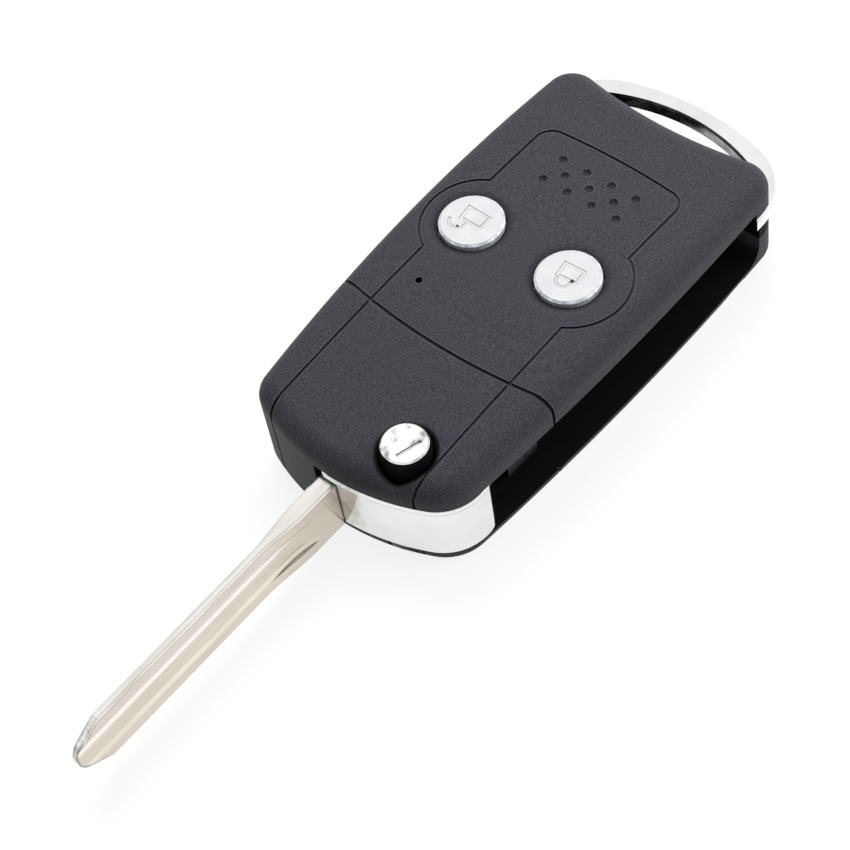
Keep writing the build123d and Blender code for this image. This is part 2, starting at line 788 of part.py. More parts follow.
with BuildPart() as blade:
    with BuildSketch(Plane.XZ.offset(-blade_y)) as blade_side:
        with BuildLine():
            Polyline(
                (head_face_x, blade_bottom_z),
                (head_face_x, blade_top_z),
                (blade_tip_x + tip_length, blade_top_z),
                (blade_tip_x, blade_top_z - tip_drop),
                (blade_tip_x, blade_bottom_z + tip_drop),
                (blade_tip_x + tip_length, blade_bottom_z),
                close=True,
            )
        make_face()
        fillet(blade_side.vertices().sort_by(Axis.X)[:2], tip_round)
    extrude(amount=shoulder_thickness, both=True)
    with BuildSketch(Plane.XY.offset(blade_bottom_z)) as blade_plan:
        with BuildLine():
            Polyline(
                (head_face_x, blade_y + shoulder_face_y),
                (shoulder_end_x, blade_y + shoulder_face_y),
                (taper_end_x, blade_y + blade_face_y),
                (blade_tip_x, blade_y + blade_face_y),
                (blade_tip_x, blade_y - blade_face_y),
                (taper_end_x, blade_y - blade_face_y),
                (shoulder_end_x, blade_y - shoulder_face_y),
                (head_face_x, blade_y - shoulder_face_y),
                close=True,
            )
        make_face()
        fillet(blade_plan.vertices().sort_by(Axis.X)[2:6], shoulder_blend)
    extrude(amount=blade_height, mode=Mode.INTERSECT)
    long_edges = blade.edges().filter_by(Axis.Y, reverse=True).filter_by(Axis.Z, reverse=True)
    chamfer(long_edges, blade_edge_bevel)
    add(blade_channels.part, mode=Mode.SUBTRACT)
    with Locations((head_face_x, blade_y, blade_mid_z)):
        Box(
            tang_length,
            tang_thickness,
            tang_height,
            align=(Align.MIN, Align.CENTER, Align.CENTER),
        )
    with Locations(Location((head_face_x + roll_pin_inset, head_end_y, blade_mid_z), (90, 0, 0))):
        Cylinder(roll_pin_diameter / 2, far, mode=Mode.SUBTRACT)
blade.part.label = "blade"

# Rolled spring pin that holds the blade
with BuildPart() as blade_roll_pin:
    pin_place = (head_face_x + roll_pin_inset, head_end_y - roll_pin_recess, blade_mid_z)
    with Locations(Location(pin_place, (90, 0, 0))):
        Cylinder(roll_pin_diameter / 2, roll_pin_length, align=upright)
        Cylinder(roll_pin_diameter / 2 - roll_pin_wall, far, align=upright, mode=Mode.SUBTRACT)
        Box(roll_pin_gap, roll_pin_diameter, 2 * roll_pin_length,
            align=(Align.CENTER, Align.MIN, Align.CENTER), mode=Mode.SUBTRACT)
blade_roll_pin.part.label = "blade_roll_pin"

# Release button, a sprung barrel that turns with the head
barrel_top_z = top_at(pivot_x) + barrel_proud
spring_bore = spring_outer_diameter / 2 + spring_bore_fit
spring_roof_z = barrel_top_z - spring_top_depth

with BuildPart() as release_button:
    with Locations((pivot_x, pivot_y, barrel_bottom_z)):
        Cylinder(barrel_diameter / 2, barrel_top_z - barrel_bottom_z, align=upright)
    with Locations((pivot_x, pivot_y, lug_ring_bottom_z)):
        Cylinder(lug_ring_diameter / 2, lug_ring_height, align=upright)
        Box(lug_width, lug_ring_diameter + 2 * lug_reach, lug_ring_height, align=upright)
    with Locations((pivot_x, pivot_y, spring_roof_z)):
        Cylinder(spring_bore, far, align=hanging, mode=Mode.SUBTRACT)
    with Locations((pivot_x, pivot_y, barrel_top_z - cap_seat_depth)):
        Cylinder(cap_diameter / 2, far, align=upright, mode=Mode.SUBTRACT)
release_button.part.label = "release_button"

with BuildPart() as release_button_cap:
    with Locations((pivot_x, pivot_y, barrel_top_z - cap_seat_depth)):
        Cylinder(cap_diameter / 2, cap_height, align=upright)
    chamfer(release_button_cap.edges().sort_by(Axis.Z)[-1], cap_edge_bevel)
    cap_top = Plane((pivot_x, pivot_y, barrel_top_z - cap_seat_depth + cap_height))
    with BuildSketch(cap_top.rotated((0, 0, cap_line_angle))):
        with Locations((0, -cap_line_offset)):
            Rectangle(cap_line_length, cap_line_width)
    extrude(amount=-cap_line_depth, mode=Mode.SUBTRACT)
release_button_cap.part.label = "release_button_cap"

# Pivot plug in the underside, which also carries the spring
plug_stem_top_z = head_floor_z + plug_stem_rise

with BuildPart() as pivot_plug:
    with Locations((pivot_x, pivot_y, 0)):
        Cylinder(plug_diameter / 2, plug_thickness, align=upright)
        Cylinder(plug_stem_diameter / 2, plug_stem_top_z, align=upright)
        Box(plug_diameter, plug_slot_width, 2 * plug_slot_depth, mode=Mode.SUBTRACT)
pivot_plug.part.label = "pivot_plug"

# Coil spring that throws the head open and lifts the button
spring_radius = (spring_outer_diameter - spring_wire) / 2
spring_rise = spring_roof_z - plug_stem_top_z - spring_wire

with BuildPart() as torsion_spring:
    spring_start = (pivot_x, pivot_y, plug_stem_top_z + spring_wire / 2)
    with BuildLine() as coil:
        Helix(spring_rise / spring_coils, spring_rise, spring_radius, center=spring_start)
    with BuildSketch(Plane(coil.line @ 0, z_dir=coil.line % 0)):
        Circle(spring_wire / 2)
    sweep()
torsion_spring.part.label = "torsion_spring"

# Case screws
with BuildPart() as case_screws:
    with Locations(*[(x, y, 0) for x, y in screw_places]):
        Cylinder(screw_shank_diameter / 2, screw_length, align=upright)
        Cylinder(screw_head_diameter / 2, screw_head_height, align=upright)
        Box(screw_head_diameter * 0.7, cross_slot_width, 2 * cross_slot_depth,
            mode=Mode.SUBTRACT)
        Box(cross_slot_width, screw_head_diameter * 0.7, 2 * cross_slot_depth,
            mode=Mode.SUBTRACT)
case_screws.part.label = "case_screws"

pieces = [
    front_top_cover,
    front_frame,
    front_bottom_cover,
    rear_top_cover,
    rear_housing,
    slot_liner,
    key_ring_bail,
    bail_carrier,
    button_membrane,
    lock_button,
    unlock_button,
    key_head,
    blade,
    blade_roll_pin,
    release_button,
    release_button_cap,
    torsion_spring,
    pivot_plug,
    case_screws,
]
for piece in pieces:
    export_step(piece.part, f"parts/{piece.part.label}.step")
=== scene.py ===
"""Dresses the flip key remote shell: finishes, engraved button faces, studio light and camera."""

from __future__ import annotations

import json
import logging
import math
from dataclasses import dataclass
from enum import Enum

import bmesh
import bpy
from mathutils import Matrix, Vector

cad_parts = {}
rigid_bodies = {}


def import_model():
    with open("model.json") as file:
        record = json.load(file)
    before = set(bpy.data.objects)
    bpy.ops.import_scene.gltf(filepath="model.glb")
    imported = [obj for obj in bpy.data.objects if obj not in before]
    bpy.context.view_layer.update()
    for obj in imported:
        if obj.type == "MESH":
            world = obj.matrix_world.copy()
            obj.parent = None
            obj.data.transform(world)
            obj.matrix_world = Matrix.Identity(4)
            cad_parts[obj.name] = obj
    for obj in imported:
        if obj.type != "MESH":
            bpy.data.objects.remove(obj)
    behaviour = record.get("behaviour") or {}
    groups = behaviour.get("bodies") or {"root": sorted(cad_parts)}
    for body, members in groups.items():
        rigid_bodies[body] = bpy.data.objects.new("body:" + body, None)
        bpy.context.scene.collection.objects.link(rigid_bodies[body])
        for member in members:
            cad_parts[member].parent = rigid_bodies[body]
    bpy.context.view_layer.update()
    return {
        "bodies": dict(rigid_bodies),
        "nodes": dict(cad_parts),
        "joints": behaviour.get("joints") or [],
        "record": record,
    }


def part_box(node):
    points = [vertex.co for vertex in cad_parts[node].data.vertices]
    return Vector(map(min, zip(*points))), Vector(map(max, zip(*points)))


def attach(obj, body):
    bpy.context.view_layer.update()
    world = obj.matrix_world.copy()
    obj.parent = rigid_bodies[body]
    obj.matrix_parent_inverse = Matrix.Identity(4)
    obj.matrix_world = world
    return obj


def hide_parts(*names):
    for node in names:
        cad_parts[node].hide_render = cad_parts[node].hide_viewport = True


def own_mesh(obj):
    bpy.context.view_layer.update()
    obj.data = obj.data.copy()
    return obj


MM = 0.001
LOG = logging.getLogger("flip_key_remote_shell")
Point = tuple[float, float]
Span = tuple[float, float]
Place = tuple[float, float, float]
Colour = tuple[float, float, float]
Socket = bpy.types.NodeSocket
Material = bpy.types.Material
Mesh = bpy.types.Mesh
WHITE = (1.0, 1.0, 1.0, 1.0)


class ButtonMark(Enum):
    """The padlock cut into a button's face."""

    LOCKED = "locked"
    UNLOCKED = "unlocked"


class SpunDirection(Enum):
    """The way the fine tool marks of a bright metal run."""

    PLAIN = "plain"
    ROUND_THE_AXIS = "round_the_axis"
    ALONG_X = "along_x"


class Part(Enum):
    """Which part of a soft node a piece copies."""

    WHOLE = 0
    TOWARD_Y = 1
    AWAY_FROM_Y = -1


class NodeBoard:
    """A small helper that lays out and links the nodes of one material."""

    OPENNESS_SAMPLES = 10
    EDGE_SAMPLES = 6
    EDGE_TURN = (0.9, 0.993)
    RING_DETAIL = 3.0
    RING_ROUGHNESS = 0.7

    def __init__(self, name: str) -> None:
        """Starts a material with an empty board.

        Args:
            name: The material's name.
        """
        self.material = bpy.data.materials.new(name)
        self.material.use_nodes = True
        self.tree = self.material.node_tree
        self.tree.nodes.clear()
        self.output = self.add("ShaderNodeOutputMaterial")

    def add(self, kind: str, **inputs: object) -> bpy.types.Node:
        """Adds a node and sets its inputs.

        Args:
            kind: Blender's name for the node type.
            **inputs: Values by socket name, with underscores for spaces.

        Returns:
            The new node.
        """
        node = self.tree.nodes.new(kind)
        for key, value in inputs.items():
            node.inputs[key.replace("_", " ")].default_value = value
        return node

    def link(self, source: Socket, target: Socket) -> None:
        """Links one socket to another."""
        self.tree.links.new(source, target)

    def object_space(self, scale: Place = (1.0, 1.0, 1.0)) -> Socket:
        """Gives object coordinates in metres, scaled on each axis.

        Args:
            scale: The scale for X, Y and Z.

        Returns:
            The vector socket.
        """
        coordinates = self.add("ShaderNodeTexCoord")
        mapping = self.add("ShaderNodeMapping")
        mapping.inputs["Scale"].default_value = scale
        self.link(coordinates.outputs["Object"], mapping.inputs["Vector"])
        return mapping.outputs["Vector"]

    def noise(
        self, vector: Socket, scale: float, detail: float = 3.0, roughness: float = 0.55
    ) -> Socket:
        """Adds a noise texture.

        Args:
            vector: The coordinates it reads.
            scale: How fine it is, in cycles a metre.
            detail: The number of finer layers.
            roughness: How strong the finer layers are.

        Returns:
            Its factor socket.
        """
        node = self.add("ShaderNodeTexNoise", Scale=scale, Detail=detail, Roughness=roughness)
        self.link(vector, node.inputs["Vector"])
        return node.outputs["Fac"]

    def spread(
        self, value: Socket, low: float, high: float, start: float = 0.3, end: float = 0.7
    ) -> Socket:
        """Maps a factor to a new range.

        Args:
            value: The factor socket.
            low: The result at the start.
            high: The result at the end.
            start: The factor that gives the low result.
            end: The factor that gives the high result.

        Returns:
            The mapped socket.
        """
        node = self.add(
            "ShaderNodeMapRange", From_Min=start, From_Max=end, To_Min=low, To_Max=high
        )
        self.link(value, node.inputs["Value"])
        return node.outputs["Result"]

    def blend_colours(self, factor: Socket, first: Colour, second: Colour) -> Socket:
        """Mixes two colours.

        Args:
            factor: How much of the second colour shows.
            first: The first colour.
            second: The second colour.

        Returns:
            The mixed colour's socket.
        """
        node = self.add("ShaderNodeMix")
        node.data_type = "RGBA"
        colour_sockets = [s for s in node.inputs if s.type == "RGBA"]
        colour_sockets[0].default_value = (*first, 1.0)
        colour_sockets[1].default_value = (*second, 1.0)
        self.link(factor, node.inputs["Factor"])
        return [s for s in node.outputs if s.type == "RGBA"][0]

    def blend_sockets(self, factor: Socket, first: Socket, second: Colour) -> Socket:
        """Mixes a colour socket with one plain colour.

        Args:
            factor: How much of the plain colour shows.
            first: The colour socket.
            second: The plain colour.

        Returns:
            The mixed colour's socket.
        """
        mixed = self.blend_colours(factor, second, second)
        self.link(first, [s for s in mixed.node.inputs if s.type == "RGBA"][0])
        return mixed

    def maths(self, operation: str, *values: Socket) -> Socket:
        """Adds a maths node.

        Args:
            operation: Blender's name for what it does.
            *values: One or two factors.

        Returns:
            The result's socket.
        """
        node = self.add("ShaderNodeMath")
        node.operation = operation
        for value, place in zip(values, node.inputs):
            self.link(value, place)
        return node.outputs["Value"]

    def product(self, first: Socket, second: Socket) -> Socket:
        """Multiplies two factors."""
        return self.maths("MULTIPLY", first, second)

    def rings(self, across: float) -> Socket:
        """Gives fine rings about the middle of the piece, as its own axis would leave them.

        Args:
            across: The number of rings over the whole width of the piece.

        Returns:
            A factor that rises and falls from ring to ring.
        """
        coordinates = self.add("ShaderNodeTexCoord")
        radius = self.add("ShaderNodeVectorMath")
        radius.operation = "DISTANCE"
        radius.inputs[1].default_value = (0.5, 0.5, 0.0)
        flat = self.add("ShaderNodeMapping")
        flat.inputs["Scale"].default_value = (1.0, 1.0, 0.0)
        self.link(coordinates.outputs["Generated"], flat.inputs["Vector"])
        self.link(flat.outputs["Vector"], radius.inputs[0])
        scaled = self.add("ShaderNodeCombineXYZ")
        self.link(radius.outputs["Value"], scaled.inputs["X"])
        vector = scaled.outputs["Vector"]
        return self.noise(vector, across, self.RING_DETAIL, self.RING_ROUGHNESS)

    def openness(self, reach: float) -> Socket:
        """Tells how open a place is, from 0 deep in a crevice to 1 on an open face.

        Args:
            reach: How far away a wall still counts, in metres.

        Returns:
            The factor socket.
        """
        node = self.add("ShaderNodeAmbientOcclusion", Distance=reach)
        node.samples = self.OPENNESS_SAMPLES
        return node.outputs["AO"]

    def position(self, axis: str) -> Socket:
        """Gives one part of the place on the object.

        Args:
            axis: The name of the object's axis, X, Y or Z.

        Returns:
            The value socket in metres.
        """
        parts = self.add("ShaderNodeSeparateXYZ")
        self.link(self.object_space(), parts.inputs["Vector"])
        return parts.outputs[axis]

    def facing(self, axis: str) -> Socket:
        """Gives one part of the surface's own direction.

        Args:
            axis: The name of the object's axis, X, Y or Z.

        Returns:
            The value socket, from -1 to 1.
        """
        coordinates = self.add("ShaderNodeTexCoord")
        parts = self.add("ShaderNodeSeparateXYZ")
        self.link(coordinates.outputs["Normal"], parts.inputs["Vector"])
        return parts.outputs[axis]

    def ramp(self, value: Socket, stops: tuple[tuple[float, Colour], ...]) -> Socket:
        """Turns a value into a colour.

        Args:
            value: The value socket, from -1 to 1.
            stops: Values with their colours, in rising order.

        Returns:
            The colour socket.
        """
        node = self.add("ShaderNodeValToRGB")
        while len(node.color_ramp.elements) < len(stops):
            node.color_ramp.elements.new(1.0)
        for element, (place, colour) in zip(node.color_ramp.elements, stops):
            element.position = (place + 1.0) / 2
            element.color = (*colour, 1.0)
        self.link(self.spread(value, 0.0, 1.0, -1.0, 1.0), node.inputs["Fac"])
        return node.outputs["Color"]

    def near_edge(self, width: float) -> Socket:
        """Finds the narrow bands along sharp edges.

        Args:
            width: The width of a band in metres.

        Returns:
            A factor that is 1 at an edge and 0 away from it.
        """
        rounded = self.add("ShaderNodeBevel", Radius=width)
        rounded.samples = self.EDGE_SAMPLES
        plain = self.add("ShaderNodeNewGeometry")
        turn = self.add("ShaderNodeVectorMath")
        turn.operation = "DOT_PRODUCT"
        self.link(rounded.outputs["Normal"], turn.inputs[0])
        self.link(plain.outputs["Normal"], turn.inputs[1])
        return self.spread(turn.outputs["Value"], 1.0, 0.0, *self.EDGE_TURN)

    def bump(self, height: Socket, distance: float, strength: float = 1.0) -> Socket:
        """Adds a bump node.

        Args:
            height: The height factor.
            distance: The real height in metres.
            strength: How much of it shows.

        Returns:
            The normal socket.
        """
        node = self.add("ShaderNodeBump", Strength=strength, Distance=distance)
        self.link(height, node.inputs["Height"])
        return node.outputs["Normal"]

    def shader(
        self, colour: Socket, rough: Socket, normal: Socket | None = None, **inputs: object
    ) -> bpy.types.Node:
        """Adds the surface shader and joins it to the output.

        Args:
            colour: The base colour.
            rough: The roughness.
            normal: The bump, where there is one.
            **inputs: Plain values by socket name, with underscores for spaces.

        Returns:
            The shader node.
        """
        node = self.add("ShaderNodeBsdfPrincipled", **inputs)
        self.link(colour, node.inputs["Base Color"])
        self.link(rough, node.inputs["Roughness"])
        if normal:
            self.link(normal, node.inputs["Normal"])
        self.link(node.outputs["BSDF"], self.output.inputs["Surface"])
        return node


@dataclass(frozen=True)
class SoftTouchPlastic:
    """Dark moulded plastic with a soft matt coating and a fine grain."""

    name: str = "soft_touch_plastic"
    colour: Colour = (0.0185, 0.0195, 0.0235)
    speck_colour: Colour = (0.046, 0.0475, 0.0555)
    # Lighter colour along sharp edges: partly wear, partly a painted highlight.
    edge_colour: Colour = (0.075, 0.076, 0.08)
    # Painted shade: grooves, dimples, button wells and the slot floor are darkened toward this
    # colour.
    recess_shade_colour: Colour = (0.004, 0.004, 0.005)
    crevice_reach: float = 0.0014
    slot_top: float = 0.0118
    edge_width: float = 0.0004
    roughness: float = 0.58
    roughness_swing: float = 0.07
    refraction: float = 1.45
    shine: float = 0.14
    specks_per_metre: float = 4200.0
    grain_per_metre: float = 7000.0
    grain_height: float = 0.00002
    grain_strength: float = 0.6
    clouds_per_metre: float = 140.0
    speck_span: Span = (0.35, 0.65)
    cloud_span: Span = (0.35, 0.6)
    wear_and_highlight_share: Span = (0.3, 0.75)
    crevice_share: float = 0.95
    crevice_span: Span = (0.64, 0.97)
    flat_share: float = 0.35
    flat_span: Span = (0.94, 0.995)
    upward_span: Span = (0.2, 0.5)
    slot_fade: float = 0.0006

    def build(self) -> Material:
        """Builds the material."""
        board = NodeBoard(self.name)
        place = board.object_space()
        cloud = board.noise(place, self.clouds_per_metre, 4.0)
        speck = board.noise(place, self.specks_per_metre, 2.0, 0.7)
        grain = board.noise(place, self.grain_per_metre, 2.0)
        # Lighter bands along sharp edges, in patches: partly wear, partly a painted highlight.
        worn_and_lit_edges = board.product(
            board.near_edge(self.edge_width),
            board.spread(cloud, *self.wear_and_highlight_share, *self.cloud_span),
        )
        colour = board.blend_colours(
            board.spread(speck, 0.0, 1.0, *self.speck_span), self.colour, self.speck_colour
        )
        colour = board.blend_sockets(worn_and_lit_edges, colour, self.edge_colour)
        # Painted shade in the grooves, dimples and button wells.
        colour = board.blend_sockets(self.crevice_shade(board), colour, self.recess_shade_colour)
        # Painted shade on the floor in and below the blade slot.
        colour = board.blend_sockets(self.slot_floor_shade(board), colour, self.recess_shade_colour)
        smooth = self.roughness - self.roughness_swing
        rough = board.spread(grain, smooth, self.roughness + self.roughness_swing)
        bump = board.bump(grain, self.grain_height, self.grain_strength)
        board.shader(colour, rough, bump, IOR=self.refraction, Specular_IOR_Level=self.shine)
        return board.material

    def crevice_shade(self, board: NodeBoard) -> Socket:
        """Finds the grooves, dimples and button wells that are painted with shade, with less
        painted shade on flat faces that look up.
        """
        open_share = board.openness(self.crevice_reach)
        crevice = board.spread(open_share, self.crevice_share, 0.0, *self.crevice_span)
        level = board.spread(board.facing("Z"), 1.0, self.flat_share, *self.flat_span)
        return board.product(crevice, level)

    def slot_floor_shade(self, board: NodeBoard) -> Socket:
        """Finds the low faces that look up, in and below the blade slot, which are painted with
        shade.
        """
        start = self.slot_top - self.slot_fade
        low = board.spread(board.position("Z"), 1.0, 0.0, start, self.slot_top)
        return board.product(low, board.spread(board.facing("Z"), 0.0, 1.0, *self.upward_span))


@dataclass(frozen=True)
class SmoothDarkPlastic:
    """The plain, shinier plastic inside the blade slot."""

    name: str = "smooth_dark_plastic"
    colour: Colour = (0.0035, 0.0036, 0.0042)
    streak_colour: Colour = (0.006, 0.006, 0.007)
    streaks_per_metre: float = 1400.0
    streak_stretch: Place = (0.25, 1.0, 1.0)
    streak_height: float = 0.000004
    refraction: float = 1.07
    smoothest: float = 0.33
    roughest: float = 0.46

    def build(self) -> Material:
        """Builds the material."""
        board = NodeBoard(self.name)
        streak = board.noise(board.object_space(self.streak_stretch), self.streaks_per_metre)
        colour = board.blend_colours(streak, self.colour, self.streak_colour)
        rough = board.spread(streak, self.smoothest, self.roughest)
        bump = board.bump(streak, self.streak_height, 0.5)
        board.shader(colour, rough, bump, IOR=self.refraction)
        return board.material


@dataclass(frozen=True)
class BrightMetal:
    """Plated metal with faint tool marks under the plating, soft dull patches that are partly
    painted reflection, and, where set, painted shade along its sharp edges.
    """

    name: str
    colour: Colour
    dull_and_reflected_colour: Colour
    roughness: float
    smoothest_share: float = 0.7
    roughest_share: float = 1.5
    marks: SpunDirection = SpunDirection.PLAIN
    marks_stretch: float = 0.04
    marks_per_metre: float = 5000.0
    rings_across: float = 90.0
    mark_height: float = 0.000002
    anisotropy: float = 0.0
    metallic: float = 1.0
    edge_width: float = 0.0
    edge_colour: Colour = (0.1, 0.1, 0.1)
    edge_shade_share: float = 0.7
    haze_and_reflections_per_metre: float = 320.0
    haze_and_reflection_start: float = 0.3
    haze_and_reflection_end: float = 0.7

    def build(self) -> Material:
        """Builds the material."""
        board = NodeBoard(self.name)
        marks = self.tool_marks(board)
        colour = self.tone(board)
        # Painted shade: a dark line along every sharp edge, such as the edges of the engraved
        # marks and the rim's chamfer.
        if self.edge_width:
            edge = board.spread(board.near_edge(self.edge_width), 0.0, self.edge_shade_share, 0.0, 1.0)
            colour = board.blend_sockets(edge, colour, self.edge_colour)
        smoothest = self.roughness * self.smoothest_share
        rough = board.spread(marks, smoothest, self.roughness * self.roughest_share)
        bump = board.bump(marks, self.mark_height, 0.5)
        shader = board.shader(
            colour, rough, bump, Metallic=self.metallic, Anisotropic=self.anisotropy
        )
        if self.anisotropy:
            tangent = board.add("ShaderNodeTangent")
            tangent.direction_type = "RADIAL"
            tangent.axis = "Z"
            board.link(tangent.outputs["Tangent"], shader.inputs["Tangent"])
        return board.material

    def tool_marks(self, board: NodeBoard) -> Socket:
        """Gives the fine marks in the direction that the tool ran."""
        if self.marks is SpunDirection.ROUND_THE_AXIS:
            return board.rings(self.rings_across)
        along = self.marks_stretch if self.marks is SpunDirection.ALONG_X else 1.0
        return board.noise(board.object_space((along, 1.0, 1.0)), self.marks_per_metre)

    def tone(self, board: NodeBoard) -> Socket:
        """Gives the metal's colour with soft dull patches, partly real dullness and, on the
        chrome of the head, the plug and the buttons, painted soft reflections.
        """
        haze_and_reflection = board.noise(board.object_space(), self.haze_and_reflections_per_metre, 5.0)
        share = board.spread(haze_and_reflection, 0.0, 1.0, self.haze_and_reflection_start, self.haze_and_reflection_end)
        return board.blend_colours(share, self.colour, self.dull_and_reflected_colour)


@dataclass(frozen=True)
class BailChrome(BrightMetal):
    """Chrome whose upright wall toward the handle is painted dark, as a painted reflection of the
    dark case.
    """

    inner_wall_reflection_colour: Colour = (0.045, 0.044, 0.042)
    inward_span: Span = (-0.3, 0.05)
    clouds_per_metre: float = 260.0
    cloud_stretch: Place = (1.0, 1.0, 2.0)
    cloud_share: Span = (0.7, 1.0)
    cloud_span: Span = (0.35, 0.6)

    def tone(self, board: NodeBoard) -> Socket:
        """Gives the bright colour and the painted dark reflection on the inner wall."""
        # Painted reflection: faces turned toward the handle take the dark colour, in patches.
        inward_reflection = board.spread(board.facing("X"), 1.0, 0.0, *self.inward_span)
        cloud = board.noise(board.object_space(self.cloud_stretch), self.clouds_per_metre, 4.0)
        share = board.product(inward_reflection, board.spread(cloud, *self.cloud_share, *self.cloud_span))
        return board.blend_sockets(share, super().tone(board), self.inner_wall_reflection_colour)


@dataclass(frozen=True)
class HeadChrome(BrightMetal):
    """Chrome with a painted grey reflection beside the blade's root, above a hub painted black as
    shade.
    """

    hub_shade_colour: Colour = (0.012, 0.012, 0.013)
    hub_top: float = 0.0025
    hub_fade: float = 0.00005
    grey_reflection_colour: Colour = (0.36, 0.35, 0.3)
    grey_reflection_start: float = -0.0035
    grey_reflection_rise: float = 0.0012
    grey_reflection_end: float = -0.0008
    grey_reflection_fade: float = 0.003
    clouds_per_metre: float = 420.0
    cloud_stretch: Place = (1.0, 1.0, 0.5)
    cloud_share: Span = (0.15, 0.8)
    cloud_span: Span = (0.38, 0.6)

    def tone(self, board: NodeBoard) -> Socket:
        """Gives the bright colour, the painted grey reflection and the painted shade on the hub.
        """
        # Painted reflection: a grey band beside the blade's root, in patches.
        place = board.position("Y")
        grey_reflection = board.product(
            board.spread(place, 0.0, 1.0, self.grey_reflection_start - self.grey_reflection_rise, self.grey_reflection_start),
            board.spread(place, 1.0, 0.0, self.grey_reflection_end, self.grey_reflection_end + self.grey_reflection_fade),
        )
        cloud = board.noise(board.object_space(self.cloud_stretch), self.clouds_per_metre, 4.0)
        share = board.product(grey_reflection, board.spread(cloud, *self.cloud_share, *self.cloud_span))
        colour = board.blend_sockets(share, super().tone(board), self.grey_reflection_colour)
        # Painted shade: the lowest part of the head, where it meets the case, is turned black.
        low = self.hub_top - self.hub_fade
        hub = board.spread(board.position("Z"), 1.0, 0.0, low, self.hub_top)
        return board.blend_sockets(hub, colour, self.hub_shade_colour)


